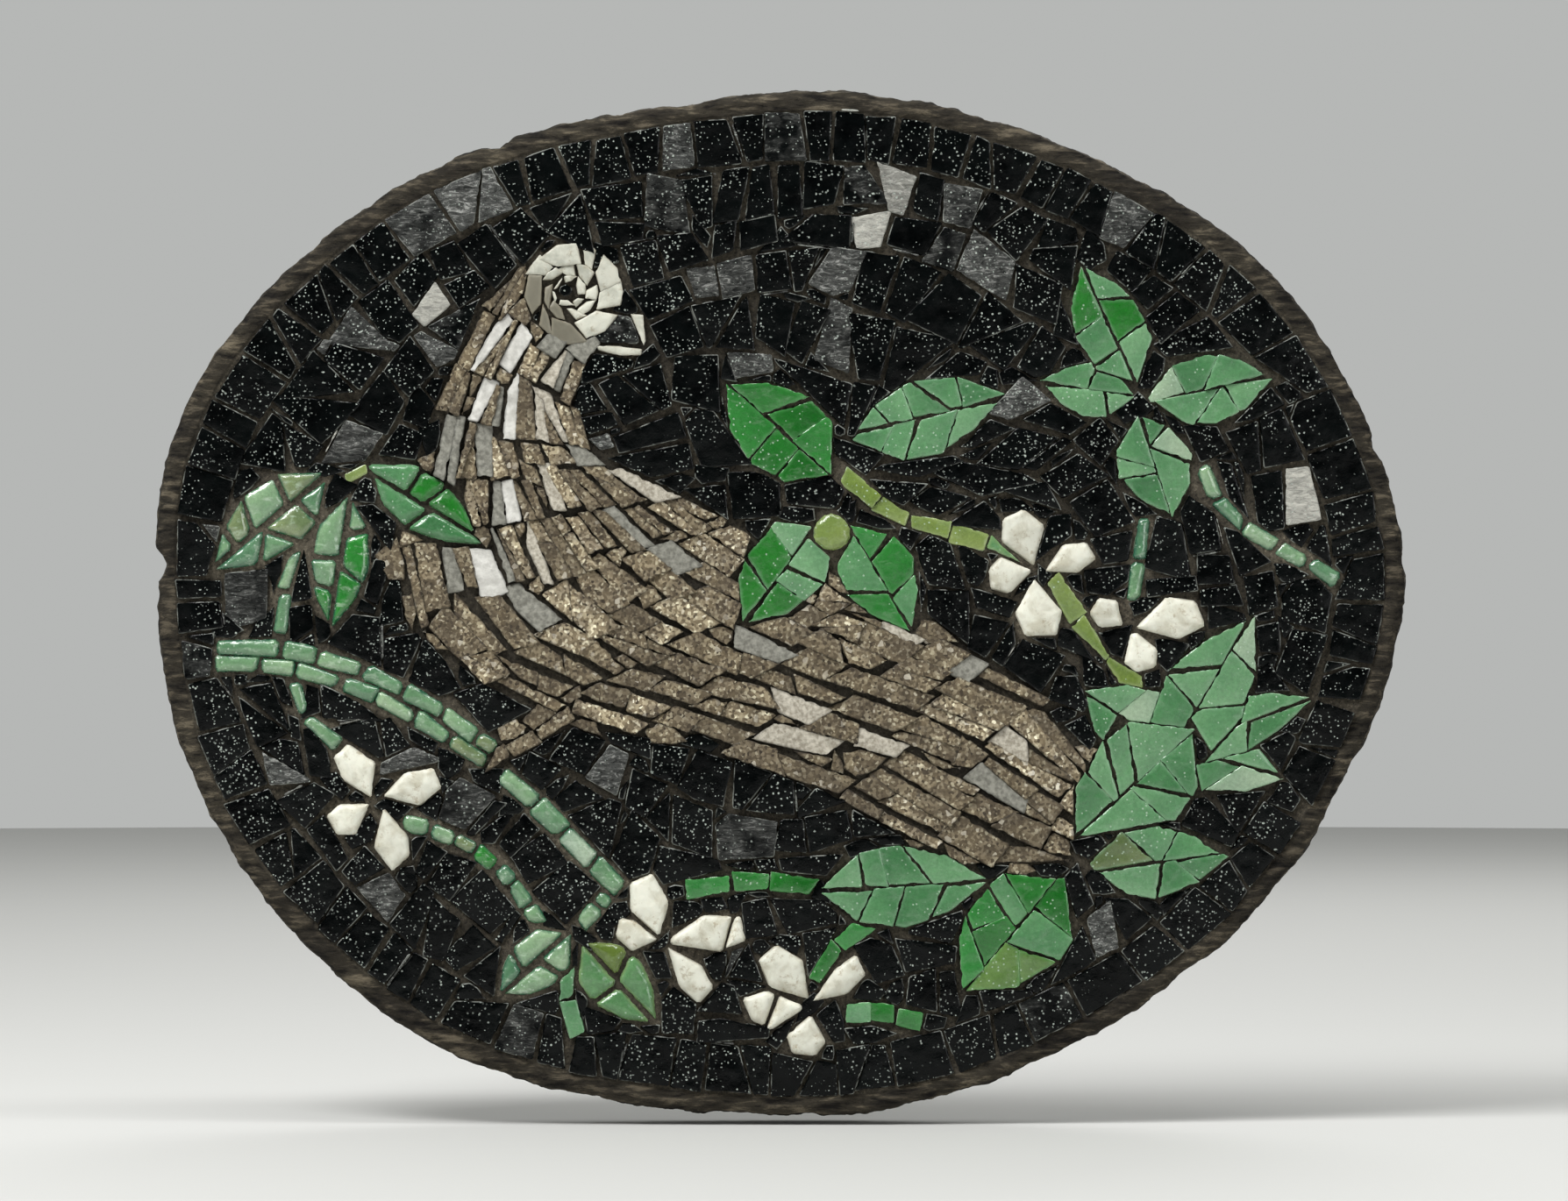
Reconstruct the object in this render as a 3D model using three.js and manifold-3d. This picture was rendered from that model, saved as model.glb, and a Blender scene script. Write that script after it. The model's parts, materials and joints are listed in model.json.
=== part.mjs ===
// An oval wall panel of hand-cut mosaic: a bird perched on a leafy, flowering branch against a black
// ground, laid in a slab of mortar that shows round the edge as a rough rim.
//
// Lengths are millimetres. The picture is laid out on a plane, x to the right and y up, seen from the
// front. Depth runs from the wall towards the viewer. The last step stands that plane upright: +X to the
// right, +Z up, the picture facing -Y, and the origin in the middle of the flat back face.
//
// A figure is a few convex outlines, its fields, and the tesserae that fill them. Every tessera is a
// convex polygon, nipped until it clears what was laid before it, as a mosaicist does with pincers.

import * as THREE from "three";
import { mergeVertices } from "three/addons/utils/BufferGeometryUtils.js";
import Module from "manifold-3d";

const wasm = await Module();
wasm.setup();

// The panel
const PANEL_WIDTH = 400;
const PANEL_HEIGHT = 329;
const RIM_WIDTH = 7;
const RIM_SPOKES = 48; // corners round the panel

// Levels, from the wall
const BED = 22.2; // mortar behind the tesserae
const GROUND_JOINT = 23.75; // mortar between the tiles of the ground
const FIGURE_JOINT = 24.7; // mortar between the tesserae of a figure
const FACE = 25.6; // mean level of the tesserae's faces

// The tesserae
const JOINT = 1.1; // mortar between two neighbours
const SEAM = 0.3; // clearance between two neighbouring parts
const GROUND_TILE = { length: 19, height: 16.4 };
const SMALLEST = 16; // least area of a figure's tessera
const SMALLEST_GROUND = 55; // least area of a ground tile
const FINEST = 5; // least area of a chip in the bird's head

const COLOURS = {
  mortar: { color: 0x5d554a, roughness: 0.95 },
  black: { color: 0x0e1112, roughness: 0.3 },
  brown: { color: 0x75685a, roughness: 0.7 },
  white: { color: 0xd9d6ca, roughness: 0.4 },
  grey: { color: 0x9a9a92, roughness: 0.5 },
  mint: { color: 0x5f9a70, roughness: 0.2 },
  deep: { color: 0x2a8236, roughness: 0.2 },
  teal: { color: 0x55917a, roughness: 0.2 },
  olive: { color: 0x858f48, roughness: 0.25 },
};

// ---------------------------------------------------------------- chance

// Seeded random numbers from 0 to 1, the same on every run.
function chance(seed) {
  let state = seed;
  return () => {
    state = (state + 0x6d2b79f5) | 0;
    let t = Math.imul(state ^ (state >>> 15), 1 | state);
    t = (t + Math.imul(t ^ (t >>> 7), 61 | t)) ^ t;
    return ((t ^ (t >>> 14)) >>> 0) / 4294967296;
  };
}

const random = chance(7);
const spread = (amount) => (random() * 2 - 1) * amount;

// ---------------------------------------------------------------- polygons, anticlockwise and convex

const at = (x, y) => new THREE.Vector2(x, y);
const lerp = (a, b, t) => a.clone().lerp(b, t);
const polar = (angle, radius) => at(Math.cos(angle) * radius, Math.sin(angle) * radius);
const degrees = (angle) => (angle * Math.PI) / 180;

function centroid(polygon) {
  const sum = polygon.reduce((total, p) => total.add(p), at(0, 0));
  return sum.divideScalar(polygon.length);
}

function edges(polygon) {
  return polygon.map((start, i) => {
    const end = polygon[(i + 1) % polygon.length];
    const along = end.clone().sub(start).normalize();
    return { start, end, out: at(along.y, -along.x) };
  });
}

const area = (polygon) => Math.abs(THREE.ShapeUtils.area(polygon));
const reach = (polygon, normal) => Math.max(...polygon.map((p) => p.dot(normal)));

// The narrowest way across a polygon.
function width(polygon) {
  return Math.min(...edges(polygon).map(({ start, out }) => start.dot(out) + reach(polygon, out.clone().negate())));
}

// Drops corners that lie closer to the last one than a chip.
function tidy(polygon, chip = 0.6) {
  return polygon.filter((p, i) => p.distanceTo(polygon[(i + polygon.length - 1) % polygon.length]) > chip);
}

// What lies behind the line through a point, on the far side from the normal.
function clip(polygon, point, normal) {
  const side = polygon.map((p) => p.clone().sub(point).dot(normal));
  const kept = [];
  polygon.forEach((p, i) => {
    const next = (i + 1) % polygon.length;
    if (side[i] <= 0) kept.push(p.clone());
    if (side[i] * side[next] < 0) kept.push(lerp(p, polygon[next], side[i] / (side[i] - side[next])));
  });
  return tidy(kept);
}

function inset(polygon, amount) {
  return edges(polygon).reduce(
    (left, { start, out }) => clip(left, start.clone().addScaledVector(out, -amount), out),
    polygon,
  );
}

// The two sides of a polygon cut by a line.
function split(polygon, point, direction) {
  const normal = at(direction.y, -direction.x);
  return [clip(polygon, point, normal), clip(polygon, point, normal.clone().negate())];
}

// Whether a piece is big enough to hold in the pincers, and no mere splinter.
const sound = (smallest) => (polygon) =>
  polygon.length > 2 && area(polygon) > smallest && width(polygon) > 0.65 * Math.sqrt(smallest);

// How far apart two polygons are, along the best of their edges' normals.
function clearance(a, b) {
  const beyond = (from, to) =>
    Math.max(...edges(from).map(({ start, out }) => -start.dot(out) - reach(to, out.clone().negate())));
  return Math.max(beyond(a, b), beyond(b, a));
}

// Cuts a tile so that it clears a blocker. A tile that a thin blocker crosses is left as two pieces.
function cutRound(tile, blocker, gap, smallest) {
  if (clearance(tile, blocker) >= gap) return [tile];
  const pieces = edges(blocker)
    .map(({ start, out }) => clip(tile, start.clone().addScaledVector(out, gap), out.clone().negate()))
    .filter(sound(smallest))
    .sort((a, b) => area(b) - area(a));
  if (!pieces.length) return [];
  const second = pieces.find((piece) => clearance(piece, pieces[0]) > gap);
  return second ? [pieces[0], second] : [pieces[0]];
}

function cutRoundAll(tile, blockers, gap, smallest) {
  return blockers.reduce(
    (pieces, blocker) => pieces.flatMap((piece) => cutRound(piece, blocker, gap, smallest)),
    [tile],
  );
}

// Leaves out the corners that hardly show.
function plain(polygon) {
  const corners = [...polygon];
  while (corners.length > 4) {
    const loss = corners.map((p, i) => area([corners.at(i - 1), p, corners[(i + 1) % corners.length]]));
    const least = Math.min(...loss);
    if (least > 0.07 * area(corners)) break;
    corners.splice(loss.indexOf(least), 1);
  }
  return corners;
}

// Lays tiles one by one, each nipped to clear those laid before it and any fields that are taken.
function lay(cells, taken, smallest = SMALLEST, laid = []) {
  const before = laid.length;
  for (const cell of cells) {
    const pieces = cutRoundAll(inset(cell, JOINT / 2), taken, JOINT / 2, smallest).filter(sound(smallest));
    for (const piece of pieces) laid.push(...cutRoundAll(piece, laid, JOINT * 0.8, smallest).map(plain));
  }
  return laid.slice(before);
}

// ---------------------------------------------------------------- the oval

// How far the panel's edge swings out from a true ellipse, by angle: the oval is drawn by hand.
const SWINGS = [
  { times: 1, amount: 2, phase: -1 },
  { times: 2, amount: 1.5, phase: 0 },
  { times: 3, amount: 2.4, phase: 0.3 },
  { times: 4, amount: 0.7, phase: -1.9 },
  { times: 5, amount: 1.1, phase: 0.9 },
  { times: 9, amount: 0.9, phase: 1.4 },
];

// A point on the oval, moved inwards from the panel's edge. The swings die out towards the middle.
function oval(angle, inwards) {
  const swing = SWINGS.reduce((sum, { times, amount, phase }) => sum + amount * Math.sin(times * angle + phase), 0);
  const wave = swing * Math.max(0, 1 - inwards / 60);
  return at(
    Math.cos(angle) * (PANEL_WIDTH / 2 + wave - inwards),
    Math.sin(angle) * (PANEL_HEIGHT / 2 + wave - inwards),
  );
}

const spokes = Array.from({ length: RIM_SPOKES }, (_, i) => (i / RIM_SPOKES) * 2 * Math.PI);
const ring = (inwards) => spokes.map((angle) => oval(angle, inwards));

// ---------------------------------------------------------------- leaves

const LEAF_STEPS = 4;

// A pointed leaf, widest a little nearer its base.
function leafField(base, tip, breadth) {
  const side = (sign) =>
    Array.from({ length: LEAF_STEPS - 1 }, (_, i) => {
      const along = (i + 1) / LEAF_STEPS;
      const half = (breadth / 2) * Math.sin(Math.PI * along ** 0.85) ** 0.8;
      const out = tip.clone().sub(base).normalize().rotateAround(at(0, 0), Math.PI / 2);
      return lerp(base, tip, along).addScaledVector(out, half * sign);
    });
  return [base, ...side(-1), tip, ...side(1).reverse()];
}

// Breaks a leaf along its midrib, then each half across, into shards.
function shards(field, base, tip, shardLength) {
  const axis = tip.clone().sub(base);
  const middle = lerp(base, tip, 0.5 + spread(0.06));
  const midrib = axis.clone().rotateAround(at(0, 0), spread(0.09));
  const pieces = [];
  split(field, middle, midrib).forEach((half, side) => {
    const count = Math.max(2, Math.round(axis.length() / shardLength));
    let rest = half;
    for (let i = 1; i < count; i++) {
      const along = (i + spread(0.22) + (side ? 0.2 : -0.2)) / count;
      const vein = axis.clone().rotateAround(at(0, 0), (side ? 1 : -1) * degrees(68 + spread(22)));
      const parts = split(rest, lerp(base, tip, along), vein);
      pieces.push(parts[side ? 0 : 1]);
      rest = parts[side ? 1 : 0];
    }
    pieces.push(rest);
  });
  return pieces.filter((piece) => piece.length > 2);
}

function leaf(name, base, tip, breadth, colour, shardLength = 19) {
  const field = leafField(base, tip, breadth);
  return { name, colour, fields: [field], cells: shards(field, base, tip, shardLength) };
}

// A lobed vine leaf: pointed lobes that spread from one heart.
function vineLeaf(name, heart, lobes, colour) {
  const parts = lobes.map(({ angle, length, breadth }) => {
    const direction = polar(degrees(angle), 1);
    const base = heart.clone().addScaledVector(direction, -breadth * 0.3);
    return leaf(name, base, heart.clone().addScaledVector(direction, length), breadth, colour, 22);
  });
  return {
    name,
    colour,
    fields: parts.flatMap((part) => part.fields),
    cells: parts.flatMap((part) => part.cells),
  };
}

// A round bud, one domed piece.
function bud(name, centre, radius, colour) {
  const round = Array.from({ length: 7 }, (_, i) => polar((i * 2 * Math.PI) / 7, radius).add(centre));
  return { name, colour, fields: [round], cells: [round], lift: 0.6 };
}

// ---------------------------------------------------------------- flowers

// How wide a petal is along its length, as shares of the whole.
const PETAL_OUTLINE = [
  [0, 0.18],
  [0.5, 1],
  [0.9, 0.6],
];

// One petal, a single thick piece that starts a little way out from the flower's heart.
function petal(heart, { angle, length, breadth }) {
  const along = polar(degrees(angle), 1);
  const across = polar(degrees(angle + 90), 1);
  const start = heart.clone().addScaledVector(along, 1.6);
  const side = (sign) =>
    PETAL_OUTLINE.map(([share, half]) =>
      start
        .clone()
        .addScaledVector(along, (share + (share && spread(0.07))) * length)
        .addScaledVector(across, sign * half * (breadth / 2) * (1 + spread(0.14))),
    );
  return [...side(-1), ...side(1).reverse()];
}

// A flower of loose petals. A cracked petal is in two pieces, snapped at a share of its length.
function flower(name, heart, petals) {
  const fields = petals.map((shape) => petal(heart, shape));
  const cells = petals.flatMap(({ angle, length, cracked }, i) => {
    if (!cracked) return [fields[i]];
    const crack = heart.clone().add(polar(degrees(angle), length * cracked));
    return split(fields[i], crack, polar(degrees(angle + 65), 1));
  });
  const middle = [0, 1, 2, 3].map((i) => polar(degrees(90 * i + 20), 3.2).add(heart));
  return { name, colour: "white", fields: [...fields, middle], cells, lift: 0.7 };
}

const petals = (...rows) => rows.map(([angle, length, breadth, cracked]) => ({ angle, length, breadth, cracked }));

// ---------------------------------------------------------------- stems

// Quads along a curve, between two distances to the side of it, with their ends shifted at random.
function strip(curve, count, from, to, shift = 0, wobble = 0) {
  const cross = (share, offset) => {
    const tangent = curve.getTangentAt(share);
    return curve.getPointAt(share).addScaledVector(at(-tangent.y, tangent.x), offset);
  };
  const stops = Array.from({ length: count + 1 }, (_, i) => (i + (i % count ? shift + spread(wobble) : 0)) / count);
  return stops.slice(1).map((stop, i) => [
    cross(stops[i], from),
    cross(stop, from),
    cross(stop, to),
    cross(stops[i], to),
  ]);
}

// A stem of one or two rows of pieces, laid along a curve.
function stem(name, points, breadth, pieces, colour, rows = 1) {
  const curve = new THREE.SplineCurve(points.map(([x, y]) => at(x, y)));
  const fields = strip(curve, Math.ceil(pieces * 0.75), -breadth / 2, breadth / 2);
  const cells = Array.from({ length: rows }, (_, row) =>
    strip(curve, pieces, breadth * (row / rows - 0.5), breadth * ((row + 1) / rows - 0.5), row * 0.45, 0.12),
  ).flat();
  return { name, colour, fields, cells };
}

// ---------------------------------------------------------------- the bird

const HEAD = { centre: at(-65.2, 98.6), radius: 15.4, eye: at(-67.8, 99.4), eyeRadius: 2.9 };

// The underside of the bird, from its nape round the breast to the tail, and its upper side from the throat.
const UNDERSIDE = [
  [-81, 108],
  [-95, 95],
  [-103, 76],
  [-111, 57],
  [-118, 35],
  [-123, 11],
  [-116, -8],
  [-97, -25],
  [-69, -36],
  [-36, -44],
  [3, -54],
  [32, -70],
  [60, -82],
  [92, -84],
];
const UPPERSIDE = [
  [-56, 83],
  [-65, 70],
  [-64, 55],
  [-51, 44],
  [-29, 34],
  [-9, 22],
  [16, 6],
  [45, -9],
  [73, -22],
  [89, -33],
  [98, -47],
  [102, -61],
];

const curveThrough = (rows) => new THREE.SplineCurve(rows.map(([x, y]) => at(x, y)));
const underside = curveThrough(UNDERSIDE);
const upperside = curveThrough(UPPERSIDE);

// A point of the body: along from neck 0 to tail 1, across from underside 0 to upper side 1.
const body = (along, across) =>
  lerp(underside.getPointAt(Math.min(1, Math.max(0, along))), upperside.getPointAt(Math.min(1, Math.max(0, along))), across);

// The pieces of the body, short and narrow at the neck, long and broad at the tail.
const FEATHER = { neck: { length: 14.5, breadth: 7.6 }, tail: { length: 31, breadth: 11.6 } };

// Rows of long pieces that follow the feathers. Each row holds as many as its own width needs, and each
// piece reaches back under the row before, against which it is nipped.
function feathers() {
  const fields = [];
  const cells = [];
  const hem = 0.006;
  const size = (along, part) => FEATHER.neck[part] + (FEATHER.tail[part] - FEATHER.neck[part]) * along ** 0.8;
  const total = (underside.getLength() + upperside.getLength()) / 2;
  for (let near = 0, row = 0; near < 0.99; row++) {
    const share = size(near, "length") / total;
    const far = near + share > 0.97 ? 1 : near + share;
    fields.push([body(near, 0), body(far, 0), body(far, 1), body(near, 1)]);
    const middle = (near + far) / 2;
    const count = Math.round(body(middle, 0).distanceTo(body(middle, 1)) / size(near, "breadth"));
    const offset = row % 2 ? 0.5 : 0;
    for (let i = 0; i < count + offset; i++) {
      const low = Math.max(hem, (i - offset + spread(0.16)) / count);
      const high = Math.min(1 - hem, (i + 1 - offset + spread(0.16)) / count);
      const start = near - (row ? 0.3 : 0) * share;
      const end = far + (far < 1 ? spread(0.26) * share : 0);
      cells.push([body(start, low), body(end, low), body(end, high), body(start, high)]);
    }
    near = far;
  }
  return { name: "bird_body", colour: "brown", fields, cells, lift: 0.1 };
}

// A polygon turned anticlockwise.
const inOrder = (polygon) => (THREE.ShapeUtils.area(polygon) < 0 ? [...polygon].reverse() : polygon);

// A ring of uneven chips round the eye. Each reaches inwards under the ring before, to be nipped there.
function chips(inner, outer, count) {
  const start = random() * 2 * Math.PI;
  const stops = Array.from({ length: count + 1 }, (_, i) => start + ((i + spread(0.2)) / count) * 2 * Math.PI);
  stops[count] = stops[0] + 2 * Math.PI;
  const round = (radius, angle) => polar(angle, radius).add(lerp(HEAD.eye, HEAD.centre, radius / HEAD.radius));
  return stops.slice(1).map((stop, i) => {
    const edge = outer === HEAD.radius ? outer : outer + spread(0.9);
    return [round(inner - 1, stops[i]), round(edge, stops[i]), round(edge, stop), round(inner - 1, stop)];
  });
}

function head() {
  const disc = Array.from({ length: 12 }, (_, i) => polar(degrees(30 * i), HEAD.radius).add(HEAD.centre));
  const cells = [...chips(HEAD.eyeRadius, 8.6, 7), ...chips(8.6, HEAD.radius, 11)];
  return { name: "bird_head", colour: "white", fields: [disc], cells, lift: 0.2, smallest: FINEST };
}

function eye() {
  const pupil = Array.from({ length: 6 }, (_, i) => polar(degrees(60 * i + 15), HEAD.eyeRadius).add(HEAD.eye));
  return { name: "bird_eye", colour: "black", fields: [pupil], cells: [pupil], lift: 0.4, smallest: FINEST };
}

// A short, stout beak: a dark upper half and a pale lower one.
function beak(name, colour, corners) {
  const shape = inOrder(corners.map(([x, y]) => at(x, y)));
  return { name, colour, fields: [shape], cells: [shape], smallest: FINEST };
}

// ---------------------------------------------------------------- the picture, in the order it is laid

const FIGURES = [
  flower("flower_left", at(-127.5, -63.3), petals([125, 21, 12.5], [21, 22, 12.5], [207, 18, 13], [292, 22, 13.5])),
  flower("flower_lower_left", at(-36.3, -107.7), petals([109, 22, 14], [165, 17, 11.5], [9, 26, 13.5, 0.8], [309, 22, 12])),
  flower("flower_bottom", at(9.8, -128.3), petals([128, 22, 14], [39, 23, 11.5], [183, 21, 13, 0.55], [262, 16, 14])),
  flower("flower_right", at(82.6, 9.8), petals([112, 22, 14], [23, 20, 12], [188, 17, 12], [272, 21, 16])),
  flower("flower_far_right", at(111.6, -7.5), petals([150, 13.5, 11], [10, 24, 15.5], [292, 15, 13])),

  bud("bud", at(17, 22.5), 6.6, "olive"),

  leaf("leaf_far_left", at(-143, 42), at(-181, 10), 25, "teal"),
  leaf("leaf_hanging_left", at(-136.5, 36), at(-142.5, -10.5), 20, "teal"),
  leaf("leaf_over_neck", at(-131, 44.5), at(-94, 17.5), 20.5, "mint"),
  leaf("leaf_bottom_left", at(-65.5, -104), at(-90, -125.5), 20, "teal"),
  leaf("leaf_bottom_olive", at(-64, -107.5), at(-38, -134), 22.5, "olive"),
  leaf("leaf_under_tail", at(11.7, -91.5), at(68, -88.5), 27, "mint", 22),
  leaf("leaf_bottom_right", at(91, -87.5), at(57.5, -123.5), 36, "deep"),
  leaf("leaf_lower_right", at(98.5, -83.5), at(143.5, -81), 24, "mint"),
  vineLeaf(
    "leaf_vine",
    at(124.5, -46),
    [
      { angle: 226, length: 44, breadth: 36 },
      { angle: 57, length: 50, breadth: 28 },
      { angle: 19, length: 49, breadth: 19 },
      { angle: 345, length: 38, breadth: 22 },
      { angle: 146, length: 33, breadth: 26 },
    ],
    "mint",
  ),
  leaf("leaf_top_middle", at(18.5, 41), at(-18.5, 70), 29, "deep"),
  leaf("leaf_top_right_middle", at(23, 52), at(72.5, 67), 26, "mint"),
  leaf("leaf_top_right_up", at(115.8, 69.5), at(94.5, 108), 24, "mint"),
  leaf("leaf_top_right_left", at(114, 65.5), at(82.5, 70.5), 17.5, "mint"),
  leaf("leaf_top_right_across", at(117, 65), at(158, 71.5), 23.5, "mint"),
  leaf("leaf_top_right_down", at(114, 60), at(126, 27), 25, "mint"),
  leaf("leaf_middle_left", at(15, 27), at(-12, -6.5), 28, "mint"),
  leaf("leaf_middle_right", at(22.5, 25), at(42, -9), 25, "deep"),

  stem("branch_left", [[-179.5, -16.5], [-156, -18], [-133, -24.5], [-114, -34], [-91.5, -49]], 11.4, 7, "teal", 2),
  stem("branch_lower", [[-88.5, -53.5], [-74, -67.5], [-62, -79.5], [-49, -92]], 7.6, 4, "teal"),
  stem("branch_lower_right", [[-30.5, -91.5], [-8, -88], [12.5, -90.5]], 6, 3, "deep"),
  stem("stem_flower_left", [[-119.5, -69.5], [-107, -73], [-94, -80], [-83, -91], [-75.5, -103.5]], 6, 7, "teal"),
  stem("twig_to_flower_left", [[-154, -25], [-150.5, -36], [-140.5, -45.5]], 4.8, 2, "teal"),
  stem("twig_hanging_leaf", [[-153, 18], [-157, 5], [-159, -9.5]], 4.6, 2, "teal"),
  stem("twig_left_top", [[-146, 41.5], [-138, 39.5], [-129, 43.5]], 4.4, 2, "olive"),
  stem("twig_bottom_left", [[-67, -113], [-67, -125], [-64.5, -138]], 5.6, 2, "mint"),
  stem("twig_branch_leaf", [[-63, -103], [-57, -96], [-52, -90.5]], 6, 2, "teal"),
  stem("twig_flower_bottom", [[12, -121], [18, -109.5], [31.5, -100]], 4.8, 2, "deep"),
  stem("stem_flower_bottom", [[21, -130.5], [33, -130.5], [46, -133.5]], 7, 3, "deep"),
  stem("stem_far_right", [[134, 43.5], [142, 29], [157, 19.5], [178, 7]], 5.6, 5, "teal"),
  stem("stem_olive", [[20.5, 41], [34, 29.5], [52, 23.5], [67.5, 18.5], [77.5, 12.5]], 6.2, 5, "olive"),
  stem("stem_olive_lower", [[86.5, 8], [96, -5], [105, -16], [114, -28]], 6.8, 3, "olive"),
  stem("twig_flower_right", [[116.5, 27], [114.5, 14], [113, 0]], 4.8, 2, "teal"),

  eye(),
  head(),
  beak("beak_upper", "grey", [[-50.5, 93.5], [-45.5, 90.5], [-43.2, 81.5], [-52.5, 85]]),
  beak("beak_lower", "white", [[-55.5, 83.8], [-45.5, 81], [-46.5, 77.6], [-55, 80]]),
  stem("bird_foot", [[-66, -35], [-80, -44], [-97, -53]], 5.2, 3, "brown"),
  feathers(),
];

// ---------------------------------------------------------------- the black ground

// A slow drift that bends the ground's rows, more and more towards the middle of the panel.
function drift(p, inwards) {
  const strength = Math.min(1, Math.max(0, (inwards - 18) / 40)) * 6;
  const pull = at(Math.sin(p.x / 19 + p.y / 27 + 1), Math.sin(p.y / 17 - p.x / 31 + 2.4));
  return p.clone().addScaledVector(pull, strength);
}

// Rows of squarish tiles, one inside the next, from the rim to the middle. The row at the rim runs true.
function groundRows() {
  const rows = [];
  for (let inwards = RIM_WIDTH; inwards < PANEL_HEIGHT / 2 - 8; ) {
    const loose = rows.length ? 1 : 0;
    const height = GROUND_TILE.height * (0.96 + spread(0.09) * loose);
    const across = (PANEL_WIDTH + PANEL_HEIGHT) / 4 - inwards - height / 2;
    const count = Math.max(5, Math.round((2 * Math.PI * across) / GROUND_TILE.length));
    const stops = Array.from({ length: count + 1 }, (_, i) => i + spread(0.14 + 0.06 * loose));
    stops[count] = stops[0] + count;
    const corner = (stop, depth) => {
      const angle = ((stop + rows.length * 0.4 + spread(0.05) * loose) / count) * 2 * Math.PI;
      return drift(oval(angle, depth + spread(0.7) * loose), depth);
    };
    const [outer, inner] = [inwards, inwards + height];
    rows.push(
      stops.slice(1).map((far, i) => {
        const near = stops[i];
        return [corner(near, outer), corner(far, outer), corner(far, inner), corner(near, inner)];
      }),
    );
    inwards = inner;
  }
  return rows;
}

// Snaps a few cells in two, and turns the rest a little, so that their neighbours must be nipped to fit.
function disturbed(cells) {
  return cells.flatMap((cell) => {
    const middle = centroid(cell);
    const turn = degrees(spread(11));
    const turned = cell.map((p) => p.clone().sub(middle).multiplyScalar(1.04).rotateAround(at(0, 0), turn).add(middle));
    if (random() > 0.1) return [turned];
    return split(turned, middle, polar(random() * Math.PI, 1)).filter((piece) => piece.length > 2);
  });
}

// Whether a point lies on the field, clear of the rim.
function onField(p) {
  const angle = Math.atan2(p.y / PANEL_HEIGHT, p.x / PANEL_WIDTH);
  return p.length() < oval(angle, RIM_WIDTH + 1).length();
}

// Small pieces for the bare spots that are left, the widest spot first.
function fillers(laid, taken) {
  const added = [];
  for (let size = 14; size >= 10; size -= 2) {
    for (let x = -PANEL_WIDTH / 2; x < PANEL_WIDTH / 2; x += 3) {
      for (let y = -PANEL_HEIGHT / 2; y < PANEL_HEIGHT / 2; y += 3) {
        const turn = random() * Math.PI;
        const square = [0, 1, 2, 3].map((i) => polar(turn + (i * Math.PI) / 2, size * 0.7).add(at(x, y)));
        const probe = [0, 1, 2].map((i) => polar((i * 2 * Math.PI) / 3, size * 0.22).add(at(x, y)));
        if (!square.every(onField)) continue;
        if ([...taken, ...laid, ...added].some((other) => clearance(probe, other) < 0.4)) continue;
        added.push(...lay([square], taken, SMALLEST_GROUND, [...laid, ...added]));
      }
    }
  }
  return added;
}

// ---------------------------------------------------------------- solids

// A closed geometry as a manifold-3d solid.
function solid(geometry) {
  geometry.deleteAttribute("normal");
  geometry.deleteAttribute("uv");
  const merged = mergeVertices(geometry, 1e-4);
  return new wasm.Manifold(
    new wasm.Mesh({
      numProp: 3,
      vertProperties: merged.attributes.position.array,
      triVerts: new Uint32Array(merged.index.array),
    }),
  );
}

// A polygon raised from one depth to another.
function slab(polygon, low, high) {
  const geometry = new THREE.ExtrudeGeometry(new THREE.Shape(polygon), { depth: high - low, bevelEnabled: false });
  return geometry.translate(0, 0, low);
}

// A tessera, sunk a little way into the mortar. Its face sits a trifle high or low, and leans.
function tessera(polygon, joint, lift = 0) {
  const geometry = slab(polygon, joint - 0.3, FACE + lift + spread(0.22));
  const lean = at(spread(0.022), spread(0.022));
  const middle = centroid(polygon);
  const place = geometry.attributes.position;
  for (let i = 0; i < place.count; i++) {
    if (place.getZ(i) < joint) continue;
    const offset = at(place.getX(i), place.getY(i)).sub(middle);
    place.setZ(i, place.getZ(i) + offset.dot(lean));
  }
  return solid(geometry);
}

const unite = (solids) => wasm.Manifold.union(solids);

// The polygon grown outwards on all sides.
function grown(polygon, amount) {
  const list = edges(inOrder(polygon));
  return list.map(({ start, out }, i) => {
    const before = list[(i + list.length - 1) % list.length].out;
    const between = out.clone().add(before).normalize();
    return start.clone().addScaledVector(between, amount / Math.max(0.4, between.dot(out)));
  });
}

const mortarField = (fields, margin) =>
  unite(fields.map((field) => solid(slab(grown(field, margin), GROUND_JOINT + SEAM, FIGURE_JOINT))));

// The closed bodies of a solid, largest first, without crumbs.
function bodies(whole, smallest) {
  return whole
    .decompose()
    .filter((part) => part.volume() > smallest)
    .sort((a, b) => b.volume() - a.volume());
}

// A solid as a mesh that stands upright: depth becomes -Y.
function mesh(name, whole, colour) {
  const { vertProperties, triVerts } = whole.getMesh();
  const geometry = new THREE.BufferGeometry()
    .setAttribute("position", new THREE.BufferAttribute(vertProperties, 3))
    .setIndex(new THREE.BufferAttribute(triVerts, 1))
    .rotateX(Math.PI / 2);
  const made = new THREE.Mesh(geometry, new THREE.MeshStandardMaterial({ metalness: 0, ...COLOURS[colour] }));
  made.name = name;
  return made;
}

// ---------------------------------------------------------------- the mortar slab

// How far in from the edge, and at what depth, each ring of the slab's outside lies, from the back round the
// rim to the recess that holds the tesserae.
const RIM_PROFILE = [
  [1.5, 0],
  [0, 1.5],
  [0.4, 21.5],
  [RIM_WIDTH - SEAM, GROUND_JOINT + 0.5],
  [RIM_WIDTH - SEAM, BED],
];

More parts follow.
